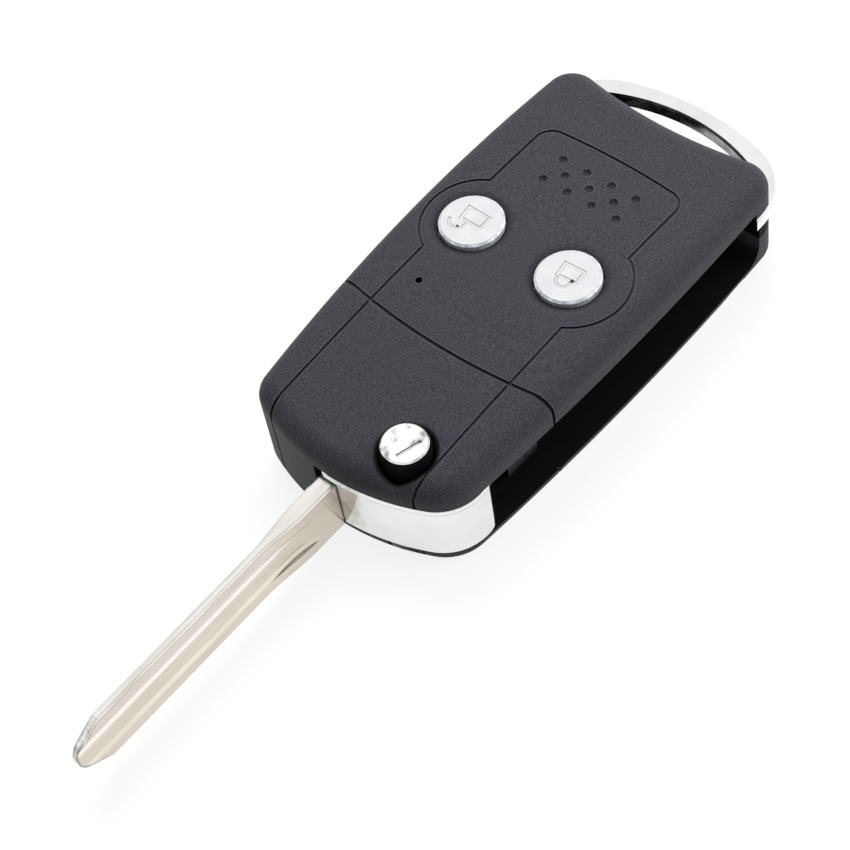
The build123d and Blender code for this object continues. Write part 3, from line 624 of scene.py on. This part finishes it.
@dataclass(frozen=True)
class BladeNickel(BrightMetal):
    """Nickel plate on a ground blade, with painted light and shade: another tone for each
    direction of its faces.
    """

    under_edge_shade: Colour = (0.52, 0.49, 0.41)
    upper_slope_highlight: Colour = (1.0, 1.0, 0.985)
    broad_face: Colour = (0.74, 0.67, 0.575)
    lower_slope_light: Colour = (0.83, 0.775, 0.69)
    upper_edge_highlight: Colour = (1.0, 1.0, 1.0)
    narrow_face: Colour = (0.88, 0.855, 0.82)
    patch_colour: Colour = (0.62, 0.575, 0.48)
    shoulder_colour: Colour = (0.6, 0.56, 0.47)
    tip_shade_colour: Colour = (0.42, 0.41, 0.39)
    stripe_low: float = 0.0080
    stripe_high: float = 0.0096
    shoulder_end: float = -0.052
    root_start: float = -0.0412
    tip_start: float = -0.0832
    outline_width: float = 0.0006
    outline_shade_colour: Colour = (0.03, 0.03, 0.028)
    patches_per_metre: float = 700.0
    patch_stretch: Place = (0.12, 1.0, 1.0)
    patch_share: float = 0.7
    patch_span: Span = (0.42, 0.7)
    glints_per_metre: float = 900.0
    glint_stretch: Place = (0.3, 1.0, 1.0)
    glint_share: float = 0.8
    shade_breakups_per_metre: float = 1500.0
    shade_breakup_span: Span = (0.35, 0.55)
    shoulder_share: float = 0.75
    shoulder_fade: float = 0.007
    stripe_fade: float = 0.005
    tip_fade: float = 0.0006
    root_fade: float = 0.0005

    def tone(self, board: NodeBoard) -> Socket:
        """Gives each face its painted light and shade, then the shoulder, the painted highlight
        stripe and the painted shade at the ends.
        """
        colour = self.face_light_and_shade(board)
        along = board.position("X")
        broad = self.broad_sides(board)
        start = self.shoulder_end
        reach = start + self.shoulder_fade
        shoulder = board.spread(along, 0.0, self.shoulder_share, start, reach)
        colour = board.blend_sockets(board.product(broad, shoulder), colour, self.shoulder_colour)
        # Painted highlight: a white stripe along the upper slope of the channel, before the
        # shoulder.
        stripe = self.stripe(board, along, broad)
        colour = board.blend_sockets(stripe, colour, self.upper_slope_highlight)
        # Painted shade: faces turned toward the tip are darkened, in patches.
        end = board.spread(board.facing("X"), 0.9, 0.0, -0.6, -0.3)
        shade_breakup = board.noise(board.object_space(), self.shade_breakups_per_metre)
        end = board.product(end, board.spread(shade_breakup, 0.2, 1.0))
        colour = board.blend_sockets(end, colour, self.tip_shade_colour)
        # Painted shade: a dark line along the edges at the tip and the root, in patches.
        outline_shade = board.product(self.both_ends(board, along), board.near_edge(self.outline_width))
        outline_shade = board.product(outline_shade, board.spread(shade_breakup, 0.35, 1.0, *self.shade_breakup_span))
        return board.blend_sockets(outline_shade, colour, self.outline_shade_colour)

    def face_light_and_shade(self, board: NodeBoard) -> Socket:
        """Gives each direction of face its tone of painted light and shade and lays long faint
        patches over it.
        """
        # Painted light and shade by face direction: darker faces under the blade, painted white
        # highlights on the upper slope and the upper edge, a lighter lower slope.
        colour = board.ramp(
            board.facing("Z"),
            (
                (-0.6, self.under_edge_shade),
                (-0.5, self.upper_slope_highlight),
                (-0.12, self.upper_slope_highlight),
                (-0.05, self.broad_face),
                (0.05, self.broad_face),
                (0.12, self.lower_slope_light),
                (0.5, self.lower_slope_light),
                (0.6, self.upper_edge_highlight),
                (0.9, self.upper_edge_highlight),
                (0.97, self.narrow_face),
            ),
        )
        patches = board.noise(board.object_space(self.patch_stretch), self.patches_per_metre)
        share = board.spread(patches, 0.0, self.patch_share, *self.patch_span)
        return board.blend_sockets(share, colour, self.patch_colour)

    def broad_sides(self, board: NodeBoard) -> Socket:
        """Finds the two broad sides of the blade."""
        side = board.maths("ABSOLUTE", board.facing("Y"))
        return board.spread(side, 0.0, 1.0, 0.85, 0.93)

    def stripe(self, board: NodeBoard, along: Socket, broad: Socket) -> Socket:
        """Finds the painted highlight stripe in the upper part of the channel.

        Args:
            board: The material's board.
            along: The place along the blade.
            broad: The factor of the broad sides.

        Returns:
            The stripe's factor.
        """
        height = board.position("Z")
        stripe = board.product(
            board.spread(height, 0.0, 1.0, self.stripe_low - 0.0002, self.stripe_low + 0.0002),
            board.spread(height, 1.0, 0.0, self.stripe_high - 0.0001, self.stripe_high),
        )
        glint = board.noise(board.object_space(self.glint_stretch), self.glints_per_metre)
        lively = board.product(broad, board.spread(glint, self.glint_share, 1.0))
        end = self.shoulder_end
        before_shoulder = board.spread(along, 1.0, 0.0, end, end + self.stripe_fade)
        return board.product(board.product(stripe, lively), before_shoulder)

    def both_ends(self, board: NodeBoard, along: Socket) -> Socket:
        """Finds the tip and the root of the blade.

        Args:
            board: The material's board.
            along: The place along the blade.

        Returns:
            A factor that is 1 at both ends.
        """
        tip = board.spread(along, 1.0, 0.0, self.tip_start - self.tip_fade, self.tip_start)
        root = board.spread(along, 0.0, 1.0, self.root_start, self.root_start + self.root_fade)
        return board.maths("MAXIMUM", tip, root)


@dataclass(frozen=True)
class SpeckledFinish:
    """A plain matt finish with fine specks: moulded rubber, or the dark fill of a cut mark."""

    name: str
    colour: Colour
    speck_colour: Colour
    specks_per_metre: float
    roughness: Span
    refraction: float = 1.45
    detail: float = 3.0
    speck_height: float = 0.0

    def build(self) -> Material:
        """Builds the material."""
        board = NodeBoard(self.name)
        speck = board.noise(board.object_space(), self.specks_per_metre, self.detail)
        colour = board.blend_colours(speck, self.colour, self.speck_colour)
        rough = board.spread(speck, *self.roughness)
        bump = board.bump(speck, self.speck_height, 0.5) if self.speck_height else None
        board.shader(colour, rough, bump, IOR=self.refraction)
        return board.material


class Palette:
    """Every finish of the shell, built once."""

    def __init__(self) -> None:
        """Builds the materials."""
        self.case = SoftTouchPlastic().build()
        self.slot = SmoothDarkPlastic().build()
        self.rubber = SpeckledFinish(
            name="grey_rubber",
            colour=(0.05, 0.052, 0.056),
            speck_colour=(0.08, 0.082, 0.086),
            specks_per_metre=2500.0,
            roughness=(0.6, 0.8),
            refraction=1.5,
            detail=4.0,
            speck_height=0.00001,
        ).build()
        self.mark = SpeckledFinish(
            name="mark_fill",
            colour=(0.05, 0.052, 0.055),
            speck_colour=(0.1, 0.1, 0.105),
            specks_per_metre=4000.0,
            roughness=(0.45, 0.6),
        ).build()
        self.chrome = BrightMetal(
            name="bright_chrome",
            colour=(0.9, 0.9, 0.885),
            dull_and_reflected_colour=(0.72, 0.715, 0.69),
            roughness=0.07,
            haze_and_reflections_per_metre=140.0,
            edge_width=0.0003,
            edge_shade_share=0.55,
        ).build()
        self.head = HeadChrome(
            name="head_chrome",
            colour=(0.9, 0.9, 0.892),
            dull_and_reflected_colour=(0.79, 0.79, 0.775),
            roughness=0.07,
            haze_and_reflections_per_metre=140.0,
            edge_width=0.0003,
            edge_shade_share=0.6,
        ).build()
        self.bail = BailChrome(
            name="bail_chrome",
            colour=(0.99, 0.995, 1.0),
            dull_and_reflected_colour=(0.93, 0.935, 0.945),
            roughness=0.1,
            edge_width=0.00025,
            edge_shade_share=0.35,
        ).build()
        self.cap = BrightMetal(
            name="cap_chrome",
            colour=(1.0, 1.0, 1.0),
            dull_and_reflected_colour=(0.36, 0.375, 0.4),
            roughness=0.16,
            marks=SpunDirection.ROUND_THE_AXIS,
            haze_and_reflections_per_metre=620.0,
            haze_and_reflection_start=0.54,
            haze_and_reflection_end=0.68,
            edge_width=0.00024,
            edge_colour=(0.03, 0.03, 0.03),
            edge_shade_share=0.9,
        ).build()
        self.spun = BrightMetal(
            name="spun_chrome",
            colour=(0.91, 0.92, 0.935),
            dull_and_reflected_colour=(0.8, 0.82, 0.845),
            roughness=0.24,
            marks=SpunDirection.ROUND_THE_AXIS,
            anisotropy=0.75,
            edge_width=0.00012,
            edge_colour=(0.03, 0.03, 0.03),
            edge_shade_share=0.85,
        ).build()
        # The rim's dark blue-grey patches are painted reflections on the button's side wall.
        self.rim = BrightMetal(
            name="satin_rim",
            colour=(1.0, 1.0, 1.0),
            dull_and_reflected_colour=(0.3, 0.35, 0.42),
            roughness=0.3,
            marks_per_metre=900.0,
            metallic=0.3,
            haze_and_reflections_per_metre=1100.0,
            edge_width=0.0002,
        ).build()
        self.blade = BladeNickel(
            name="nickel_blade",
            colour=(0.88, 0.855, 0.82),
            dull_and_reflected_colour=(0.8, 0.775, 0.74),
            roughness=0.15,
            marks=SpunDirection.ALONG_X,
            marks_per_metre=2600.0,
            mark_height=0.000004,
            edge_width=0.00036,
            edge_colour=(0.13, 0.12, 0.09),
            edge_shade_share=0.75,
        ).build()
        self.engraved = BrightMetal(
            name="engraved_line",
            colour=(0.95, 0.955, 0.96),
            dull_and_reflected_colour=(0.85, 0.86, 0.87),
            roughness=0.3,
            edge_width=0.00012,
            edge_colour=(0.03, 0.03, 0.03),
            edge_shade_share=0.85,
        ).build()
        self.steel = BrightMetal(
            name="plain_steel",
            colour=(0.5, 0.5, 0.5),
            dull_and_reflected_colour=(0.42, 0.42, 0.42),
            roughness=0.3,
        ).build()


@dataclass
class Handle:
    """The moulded case and what is fixed in it."""

    soft_nodes: tuple[str, ...] = (
        "front_top_cover",
        "front_frame",
        "front_bottom_cover",
        "rear_top_cover",
        "rear_housing",
    )
    smooth_nodes: tuple[str, ...] = ("slot_liner", "bail_carrier")

    def dress(self, palette: Palette) -> None:
        """Gives the case its finishes.

        Args:
            palette: The finishes.
        """
        for name in self.soft_nodes:
            paint(name, palette.case)
        for name in self.smooth_nodes:
            paint(name, palette.slot)
        paint("key_ring_bail", palette.bail)
        paint("pivot_plug", palette.chrome)
        paint("case_screws", palette.steel)


class FlipHead:
    """The swinging head with its blade and release button."""

    def dress(self, palette: Palette) -> None:
        """Gives the head its finishes.

        Args:
            palette: The finishes.
        """
        paint("key_head", palette.head)
        paint("blade", palette.blade)
        paint("blade_roll_pin", palette.steel)
        paint("release_button", palette.slot)
        paint("release_button_cap", palette.cap)


@dataclass(frozen=True)
class Padlock:
    """The lines of one padlock mark, in millimetres from the button's centre.

    The shackle points away from the key ring. A dark dot marks the place of the keyhole.
    """

    outer: tuple[Point, ...]
    inner: tuple[Point, ...]
    shackle: tuple[Point, ...]
    dot: Point
    dot_radius: float = 0.15


PADLOCKS: dict[ButtonMark, Padlock] = {
    ButtonMark.UNLOCKED: Padlock(
        outer=((1.91, 2.0), (-0.64, 1.72), (-0.54, -2.03), (1.87, -1.99)),
        inner=((1.52, 1.46), (-0.26, 1.26), (-0.2, -1.62), (1.49, -1.6)),
        shackle=(
            (-0.56, 0.3),
            (-1.05, 0.26),
            (-1.55, 0.3),
            (-2.0, 0.6),
            (-2.26, 1.1),
            (-2.28, 1.7),
            (-2.05, 2.25),
            (-1.6, 2.6),
            (-1.2, 2.68),
        ),
        dot=(-1.84, 0.93),
    ),
    ButtonMark.LOCKED: Padlock(
        outer=((1.8, 1.89), (-0.8, 1.56), (-0.55, -1.77), (1.94, -1.67)),
        inner=((1.38, 1.38), (-0.4, 1.13), (-0.2, -1.34), (1.5, -1.26)),
        shackle=(
            (-0.76, 1.06),
            (-1.2, 1.02),
            (-1.62, 0.82),
            (-1.92, 0.45),
            (-2.02, -0.02),
            (-1.9, -0.48),
            (-1.58, -0.82),
            (-1.12, -0.98),
            (-0.64, -1.0),
        ),
        dot=(-0.41, -0.96),
        dot_radius=0.26,
    ),
}


@dataclass
class ChromeButton:
    """A round button with a spun top, a bright bevelled rim and an engraved padlock.

    Its sizes are in millimetres.
    """

    node: str
    body: str
    mark: ButtonMark
    radius: float = 4.55
    bevel: float = 0.3
    skin: float = 1.6
    rim: float = 1.0
    flange_width: float = 0.8
    flange_bottom: float = 3.55
    flange_height: float = 0.8
    stem_radius: float = 1.5
    segments: int = 128
    shackle_width: float = 0.38
    shackle_steps: int = 6
    cut_depth: float = 0.11
    cut_draft: float = 0.06
    cut_overshoot: float = 0.4
    dot_segments: int = 24
    sharp_angle: float = 24.0

    def build(self, palette: Palette) -> bpy.types.Object:
        """Builds the button, cuts its mark and puts it in the CAD node's place.

        Args:
            palette: The finishes.

        Returns:
            The finished piece.
        """
        low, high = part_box(self.node)
        turned = self.lathe((high[2] - low[2]) / MM)
        marks = PADLOCKS[self.mark]
        cutters = [self.ring_cutter(marks), self.shackle_cutter(marks), self.dot_cutter(marks)]
        mesh = cut_away(turned, cutters, f"{self.node}_mesh")
        mesh.materials.clear()
        for material in (palette.spun, palette.rim, palette.engraved, palette.mark):
            mesh.materials.append(material)
        self.give_finishes(mesh, marks)
        mesh.shade_smooth()
        mesh.set_sharp_from_angle(angle=math.radians(self.sharp_angle))
        piece = bpy.data.objects.new(f"{self.node}_engraved", mesh)
        middle = [(low[axis] + high[axis]) / 2 for axis in range(2)]
        piece.location = (middle[0], middle[1], high[2])
        bpy.context.scene.collection.objects.link(piece)
        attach(piece, self.body)
        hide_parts(self.node)
        return piece

    def profile(self, depth: float) -> list[Point]:
        """Gives the turned section.

        Args:
            depth: The whole height of the button.

        Returns:
            Points of radius and height, from the stem's foot out and up to the top's middle.
        """
        ceiling = -self.skin
        inside = self.radius - self.rim
        flange = self.radius + self.flange_width
        flange_top = self.flange_height - self.flange_bottom
        return [
            (0.0, -depth),
            (self.stem_radius, -depth),
            (self.stem_radius, ceiling),
            (inside, ceiling),
            (inside, -self.flange_bottom),
            (flange, -self.flange_bottom),
            (flange, flange_top),
            (self.radius, flange_top),
            (self.radius, -self.bevel),
            (self.radius - self.bevel, 0.0),
            (0.0, 0.0),
        ]

    def lathe(self, depth: float) -> Mesh:
        """Turns the section about the button's axis.

        Args:
            depth: The whole height of the button.

        Returns:
            The closed mesh.
        """
        shape = bmesh.new()
        section = self.profile(depth)
        bottom = shape.verts.new((0.0, 0.0, section[0][1] * MM))
        rings = []
        for radius, height in section[1:-1]:
            ring = []
            for step in range(self.segments):
                turn = math.tau * step / self.segments
                place = (radius * math.cos(turn), radius * math.sin(turn), height)
                ring.append(shape.verts.new([value * MM for value in place]))
            rings.append(ring)
        for step in range(self.segments):
            after = (step + 1) % self.segments
            shape.faces.new((bottom, rings[0][after], rings[0][step]))
            for lower, upper in zip(rings, rings[1:]):
                shape.faces.new((lower[step], lower[after], upper[after], upper[step]))
        shape.faces.new(rings[-1])
        return finished(shape, f"{self.node}_turned")

    def ring_cutter(self, marks: Padlock) -> Mesh:
        """Makes the cutter for the padlock's body, a four-sided ring with sloped walls."""
        corners = zip(marks.outer, marks.inner)
        middle = [((a[0] + b[0]) / 2, (a[1] + b[1]) / 2) for a, b in corners]
        return self.groove_cutter(middle, list(marks.outer), list(marks.inner), closed=True)

    def shackle_cutter(self, marks: Padlock) -> Mesh:
        """Makes the cutter for the shackle, a bent strip of even width.

        Args:
            marks: The padlock's lines.

        Returns:
            The closed cutter.
        """
        path = smooth_path(marks.shackle, self.shackle_steps)
        left = []
        right = []
        for index, (x, y) in enumerate(path):
            before = path[max(index - 1, 0)]
            after = path[min(index + 1, len(path) - 1)]
            along = Vector((after[0] - before[0], after[1] - before[1])).normalized()
            side = Vector((-along.y, along.x)) * (self.shackle_width / 2)
            left.append((x + side.x, y + side.y))
            right.append((x - side.x, y - side.y))
        return self.groove_cutter(path, left, right, closed=False)

    def groove_cutter(
        self, middle: list[Point], left: list[Point], right: list[Point], closed: bool
    ) -> Mesh:
        """Makes a closed strip between two lines, narrower at its floor than at the surface.

        Args:
            middle: The line that the walls lean toward.
            left: The groove's one edge at the surface.
            right: Its other edge.
            closed: Whether the strip joins up with its own start.

        Returns:
            The closed cutter.
        """
        shape = bmesh.new()
        rise = self.cut_draft * self.cut_overshoot / self.cut_depth
        sections = []
        for centre, one, other in zip(middle, left, right):
            corners = []
            for edge, height, lean in (
                (one, -self.cut_depth, -self.cut_draft),
                (other, -self.cut_depth, -self.cut_draft),
                (other, self.cut_overshoot, rise),
                (one, self.cut_overshoot, rise),
            ):
                away = Vector((edge[0] - centre[0], edge[1] - centre[1]))
                place = Vector(edge) + away.normalized() * lean
                corners.append(shape.verts.new((place.x * MM, place.y * MM, height * MM)))
            sections.append(corners)
        pairs = list(zip(sections, sections[1:]))
        if closed:
            pairs.append((sections[-1], sections[0]))
        for first, second in pairs:
            for side in range(4):
                after = (side + 1) % 4
                shape.faces.new((first[side], first[after], second[after], second[side]))
        if not closed:
            shape.faces.new(sections[0])
            shape.faces.new(sections[-1])
        return finished(shape, "groove_cutter")

    def dot_cutter(self, marks: Padlock) -> Mesh:
        """Makes the cutter for the dark dot.

        Args:
            marks: The padlock's lines.

        Returns:
            The closed cutter.
        """
        shape = bmesh.new()
        bmesh.ops.create_cone(
            shape,
            cap_ends=True,
            segments=self.dot_segments,
            radius1=marks.dot_radius * MM,
            radius2=marks.dot_radius * MM,
            depth=4 * self.cut_depth * MM,
            matrix=Matrix.Translation((marks.dot[0] * MM, marks.dot[1] * MM, 0.0)),
        )
        return finished(shape, "dot_cutter")

    def give_finishes(self, mesh: Mesh, marks: Padlock) -> None:
        """Gives each face its finish: spun top, bright rim, engraved lines and dark dot.

        Args:
            mesh: The button.
            marks: The padlock's lines.
        """
        top, rim, line, dot = range(4)
        skin_depth = 0.5
        mark_radius = 0.8 * (self.radius - self.bevel)
        dot_radius = 1.05 * marks.dot_radius
        for face in mesh.polygons:
            x, y, z = face.center / MM
            in_skin = z > -skin_depth
            if z >= -0.002:
                face.material_index = top
            elif in_skin and math.hypot(x - marks.dot[0], y - marks.dot[1]) < dot_radius:
                face.material_index = dot
            elif in_skin and math.hypot(x, y) < mark_radius:
                face.material_index = line
            else:
                face.material_index = rim


@dataclass(frozen=True)
class SoftPiece:
    """A spring or rubber piece inside the case; the real one flattens as a button comes down on
    it, but this copy keeps its shape.
    """

    node: str
    slot: str
    joint: str
    keep: float
    part: Part = Part.WHOLE

    def build(self, name: str, material: Material) -> bpy.types.Object:
        """Copies the CAD node, or one side of it.

        Args:
            name: The piece's name.
            material: Its finish.

        Returns:
            The finished piece.
        """
        low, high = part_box(self.node)
        middle = [(low[axis] + high[axis]) / 2 for axis in range(2)]
        mesh = FRAME["nodes"][self.node].data.copy()
        mesh.name = f"{name}_mesh"
        if self.part is not Part.WHOLE:
            self.keep_side(mesh, middle[1])
        mesh.materials.clear()
        mesh.materials.append(material)
        piece = bpy.data.objects.new(name, mesh)
        bpy.context.scene.collection.objects.link(piece)
        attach(piece, "case")
        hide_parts(self.node)
        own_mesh(piece)
        return piece

    def keep_side(self, mesh: Mesh, middle: float) -> None:
        """Cuts the mesh across Y and closes the cut.

        Args:
            mesh: The mesh that is cut.
            middle: The place of the cut on Y, in metres.
        """
        shape = bmesh.new()
        shape.from_mesh(mesh)
        bmesh.ops.remove_doubles(shape, verts=shape.verts, dist=0.0001 * MM)
        cut = bmesh.ops.bisect_plane(
            shape,
            geom=[*shape.verts, *shape.edges, *shape.faces],
            plane_co=(0.0, middle, 0.0),
            plane_no=(0.0, float(self.part.value), 0.0),
            clear_inner=True,
        )
        open_edges = [item for item in cut["geom_cut"] if isinstance(item, bmesh.types.BMEdge)]
        bmesh.ops.contextual_create(shape, geom=open_edges)
        bmesh.ops.recalc_face_normals(shape, faces=shape.faces)
        shape.to_mesh(mesh)
        shape.free()


@dataclass
class PressedParts:
    """What gives way inside the case: the coil below the release button and the rubber sheet."""

    coil_keep: float = 0.775
    sheet_keep: float = 0.52

    def dress(self, palette: Palette) -> None:
        """Builds the coil and both sides of the rubber sheet.

        Args:
            palette: The finishes.
        """
        coil = SoftPiece("torsion_spring", "spring_steel", "release_press", self.coil_keep)
        coil.build("torsion_spring_coil", palette.steel)
        for joint, part in (("unlock_press", Part.TOWARD_Y), ("lock_press", Part.AWAY_FROM_Y)):
            side = SoftPiece("button_membrane", "grey_rubber", joint, self.sheet_keep, part)
            side.build(f"button_membrane_{joint}", palette.rubber)


class RemoteButtons:
    """The two remote buttons."""

    def dress(self, palette: Palette) -> None:
        """Builds both buttons with their marks."""
        ChromeButton("lock_button", "lock", ButtonMark.LOCKED).build(palette)
        ChromeButton("unlock_button", "unlock", ButtonMark.UNLOCKED).build(palette)


@dataclass
class Studio:
    """Floor, soft lamps, plain world and the camera at the photograph's angle."""

    azimuth: float = -40.19
    elevation: float = 54.09
    roll: float = -11.46
    distance: float = 304.1 * MM
    target: Place = (-28.39 * MM, -7.42 * MM, 17.4 * MM)
    lens: float = 101.65
    sensor_width: float = 36.0
    nearest: float = 0.01
    floor_half_side: float = 3.0
    floor_sink: float = 0.02 * MM
    floor_tone: float = 0.86
    floor_glow: float = 0.85
    world_light: float = 0.28
    world_level: float = 1.0

    def build(self) -> None:
        """Builds the floor, the lamps, the world and the camera."""
        self.lay_floor()
        self.light_world()
        self.hang_lamps()
        self.place_camera()

    def lay_floor(self) -> None:
        """Lays the pale floor just under the shell."""
        mesh = bpy.data.meshes.new("floor")
        edge = self.floor_half_side
        level = -self.floor_sink
        corners = [(x * edge, y * edge, level) for x, y in ((-1, -1), (1, -1), (1, 1), (-1, 1))]
        mesh.from_pydata(corners, [], [(0, 1, 2, 3)])
        mesh.materials.append(self.floor_finish())
        floor = bpy.data.objects.new("floor", mesh)
        bpy.context.scene.collection.objects.link(floor)

    def floor_finish(self) -> Material:
        """Makes the pale floor that keeps shadows and is clear when seen from below."""
        board = NodeBoard("pale_floor")
        tone = self.floor_tone
        diffuse = board.add("ShaderNodeBsdfDiffuse", Color=(tone, tone, tone, 1.0))
        glow = board.add("ShaderNodeEmission", Color=WHITE, Strength=1.0)
        share = board.spread(seen_or_mirrored(board.tree), 0.0, self.floor_glow, 0.0, 1.0)
        mix = board.add("ShaderNodeMixShader")
        board.link(share, mix.inputs["Fac"])
        board.link(diffuse.outputs["BSDF"], mix.inputs[1])
        board.link(glow.outputs["Emission"], mix.inputs[2])
        sides = board.add("ShaderNodeMixShader")
        side = board.add("ShaderNodeNewGeometry")
        clear = board.add("ShaderNodeBsdfTransparent", Color=WHITE)
        board.link(side.outputs["Backfacing"], sides.inputs["Fac"])
        board.link(mix.outputs["Shader"], sides.inputs[1])
        board.link(clear.outputs["BSDF"], sides.inputs[2])
        board.link(sides.outputs["Shader"], board.output.inputs["Surface"])
        return board.material

    def light_world(self) -> None:
        """Makes an even pale world that shows white to the camera and in metal."""
        world = bpy.data.worlds.new("plain_world")
        bpy.context.scene.world = world
        world.use_nodes = True
        tree = world.node_tree
        tree.nodes.clear()
        output = tree.nodes.new("ShaderNodeOutputWorld")
        mix = tree.nodes.new("ShaderNodeMixShader")
        tree.links.new(seen_or_mirrored(tree), mix.inputs["Fac"])
        for place, strength in ((1, self.world_light), (2, self.world_level)):
            background = tree.nodes.new("ShaderNodeBackground")
            background.inputs["Color"].default_value = WHITE
            background.inputs["Strength"].default_value = strength
            tree.links.new(background.outputs["Background"], mix.inputs[place])
        tree.links.new(mix.outputs["Shader"], output.inputs["Surface"])

    def hang_lamps(self) -> None:
        """Hangs three soft lamps."""
        self.soft_lamp("key_lamp", place=(0.28, 0.28, 0.55), size=0.5, power=7.0)
        self.soft_lamp("fill_lamp", place=(0.4, -0.4, 0.35), size=0.5, power=4.3)
        self.soft_lamp("front_lamp", place=(-0.5, -0.3, 0.35), size=0.4, power=0.05)

    def soft_lamp(self, name: str, place: Place, size: float, power: float) -> None:
        """Hangs one square lamp that faces the shell.

        Args:
            name: The lamp's name.
            place: Its place in metres.
            size: Its side in metres.
            power: Its power in watts.
        """
        lamp = bpy.data.lights.new(name, "AREA")
        lamp.size = size
        lamp.energy = power
        holder = bpy.data.objects.new(name, lamp)
        holder.location = place
        aim = Vector(self.target) - Vector(place)
        holder.rotation_euler = aim.to_track_quat("-Z", "Y").to_euler()
        holder.visible_glossy = False
        bpy.context.scene.collection.objects.link(holder)

    def place_camera(self) -> None:
        """Places the camera at the photograph's angle."""
        azimuth = math.radians(self.azimuth)
        elevation = math.radians(self.elevation)
        roll = math.radians(self.roll)
        back = Vector(
            (
                math.sin(azimuth) * math.cos(elevation),
                -math.cos(azimuth) * math.cos(elevation),
                math.sin(elevation),
            )
        )
        right = (-back).cross(Vector((0.0, 0.0, 1.0))).normalized()
        up = right.cross(-back).normalized()
        turned_right = right * math.cos(roll) + up * math.sin(roll)
        turned_up = up * math.cos(roll) - right * math.sin(roll)
        turn = Matrix((turned_right, turned_up, back)).transposed()
        camera = bpy.data.cameras.new("camera")
        camera.lens = self.lens
        camera.sensor_width = self.sensor_width
        camera.clip_start = self.nearest
        holder = bpy.data.objects.new("camera", camera)
        place = Vector(self.target) + back * self.distance
        holder.matrix_world = Matrix.Translation(place) @ turn.to_4x4()
        bpy.context.scene.collection.objects.link(holder)
        bpy.context.scene.camera = holder


def seen_or_mirrored(tree: bpy.types.NodeTree) -> Socket:
    """Tells whether a place is seen by the camera or in a shiny surface.

    Args:
        tree: The node tree that asks.

    Returns:
        A factor that is 1 for both and 0 for plain light.
    """
    path = tree.nodes.new("ShaderNodeLightPath")
    seen = tree.nodes.new("ShaderNodeMath")
    seen.operation = "MAXIMUM"
    tree.links.new(path.outputs["Is Camera Ray"], seen.inputs[0])
    tree.links.new(path.outputs["Is Glossy Ray"], seen.inputs[1])
    return seen.outputs["Value"]


def smooth_path(points: tuple[Point, ...], steps: int) -> list[Point]:
    """Draws a smooth line through a few points.

    Args:
        points: The points that the line passes through.
        steps: The number of short pieces between two points.

    Returns:
        The points of the smooth line.
    """
    ends = (points[0], *points, points[-1])
    path = []
    for a, b, c, d in zip(ends, ends[1:], ends[2:], ends[3:]):
        for step in range(steps):
            t = step / steps
            path.append(
                tuple(
                    0.5
                    * (
                        2 * b[i]
                        + (c[i] - a[i]) * t
                        + (2 * a[i] - 5 * b[i] + 4 * c[i] - d[i]) * t**2
                        + (3 * b[i] - a[i] - 3 * c[i] + d[i]) * t**3
                    )
                    for i in range(2)
                )
            )
    path.append(points[-1])
    return path


def finished(shape: bmesh.types.BMesh, name: str) -> Mesh:
    """Turns every face of a working shape outward and makes the mesh.

    Args:
        shape: The working shape, which is freed.
        name: The mesh's name.

    Returns:
        The mesh.
    """
    bmesh.ops.recalc_face_normals(shape, faces=shape.faces)
    mesh = bpy.data.meshes.new(name)
    shape.to_mesh(mesh)
    shape.free()
    return mesh


def cut_away(solid: Mesh, cutters: list[Mesh], name: str) -> Mesh:
    """Cuts several closed meshes out of another.

    Args:
        solid: The mesh that is cut.
        cutters: What is taken away, one after the other.
        name: The name of the result.

    Returns:
        The cut mesh.
    """
    holder = bpy.data.objects.new(name, solid)
    scene = bpy.context.scene.collection.objects
    scene.link(holder)
    tools = []
    for cutter in cutters:
        tool = bpy.data.objects.new(f"{name}_cutter", cutter)
        scene.link(tool)
        tools.append(tool)
        modifier = holder.modifiers.new("cut", "BOOLEAN")
        modifier.operation = "DIFFERENCE"
        modifier.solver = "EXACT"
        modifier.object = tool
    view = bpy.context.evaluated_depsgraph_get()
    mesh = bpy.data.meshes.new_from_object(holder.evaluated_get(view))
    mesh.name = name
    for used in (holder, *tools):
        bpy.data.objects.remove(used)
    return mesh


def paint(node: str, material: Material) -> None:
    """Gives a CAD node one finish.

    Args:
        node: The node's name.
        material: The finish.
    """
    mesh = FRAME["nodes"][node].data
    mesh.materials.clear()
    mesh.materials.append(material)


FRAME: dict = {}


def main() -> None:
    """Builds the whole scene in order."""
    logging.basicConfig(level=logging.INFO, format="%(name)s: %(message)s")
    FRAME.update(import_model())
    palette = Palette()
    for assembly in (Handle(), FlipHead(), PressedParts(), RemoteButtons()):
        assembly.dress(palette)
        LOG.info("dressed %s", type(assembly).__name__)
    Studio().build()
    LOG.info("lit and framed")
    bpy.context.scene.view_settings.view_transform = "Standard"


if __name__ == "__main__":
    main()
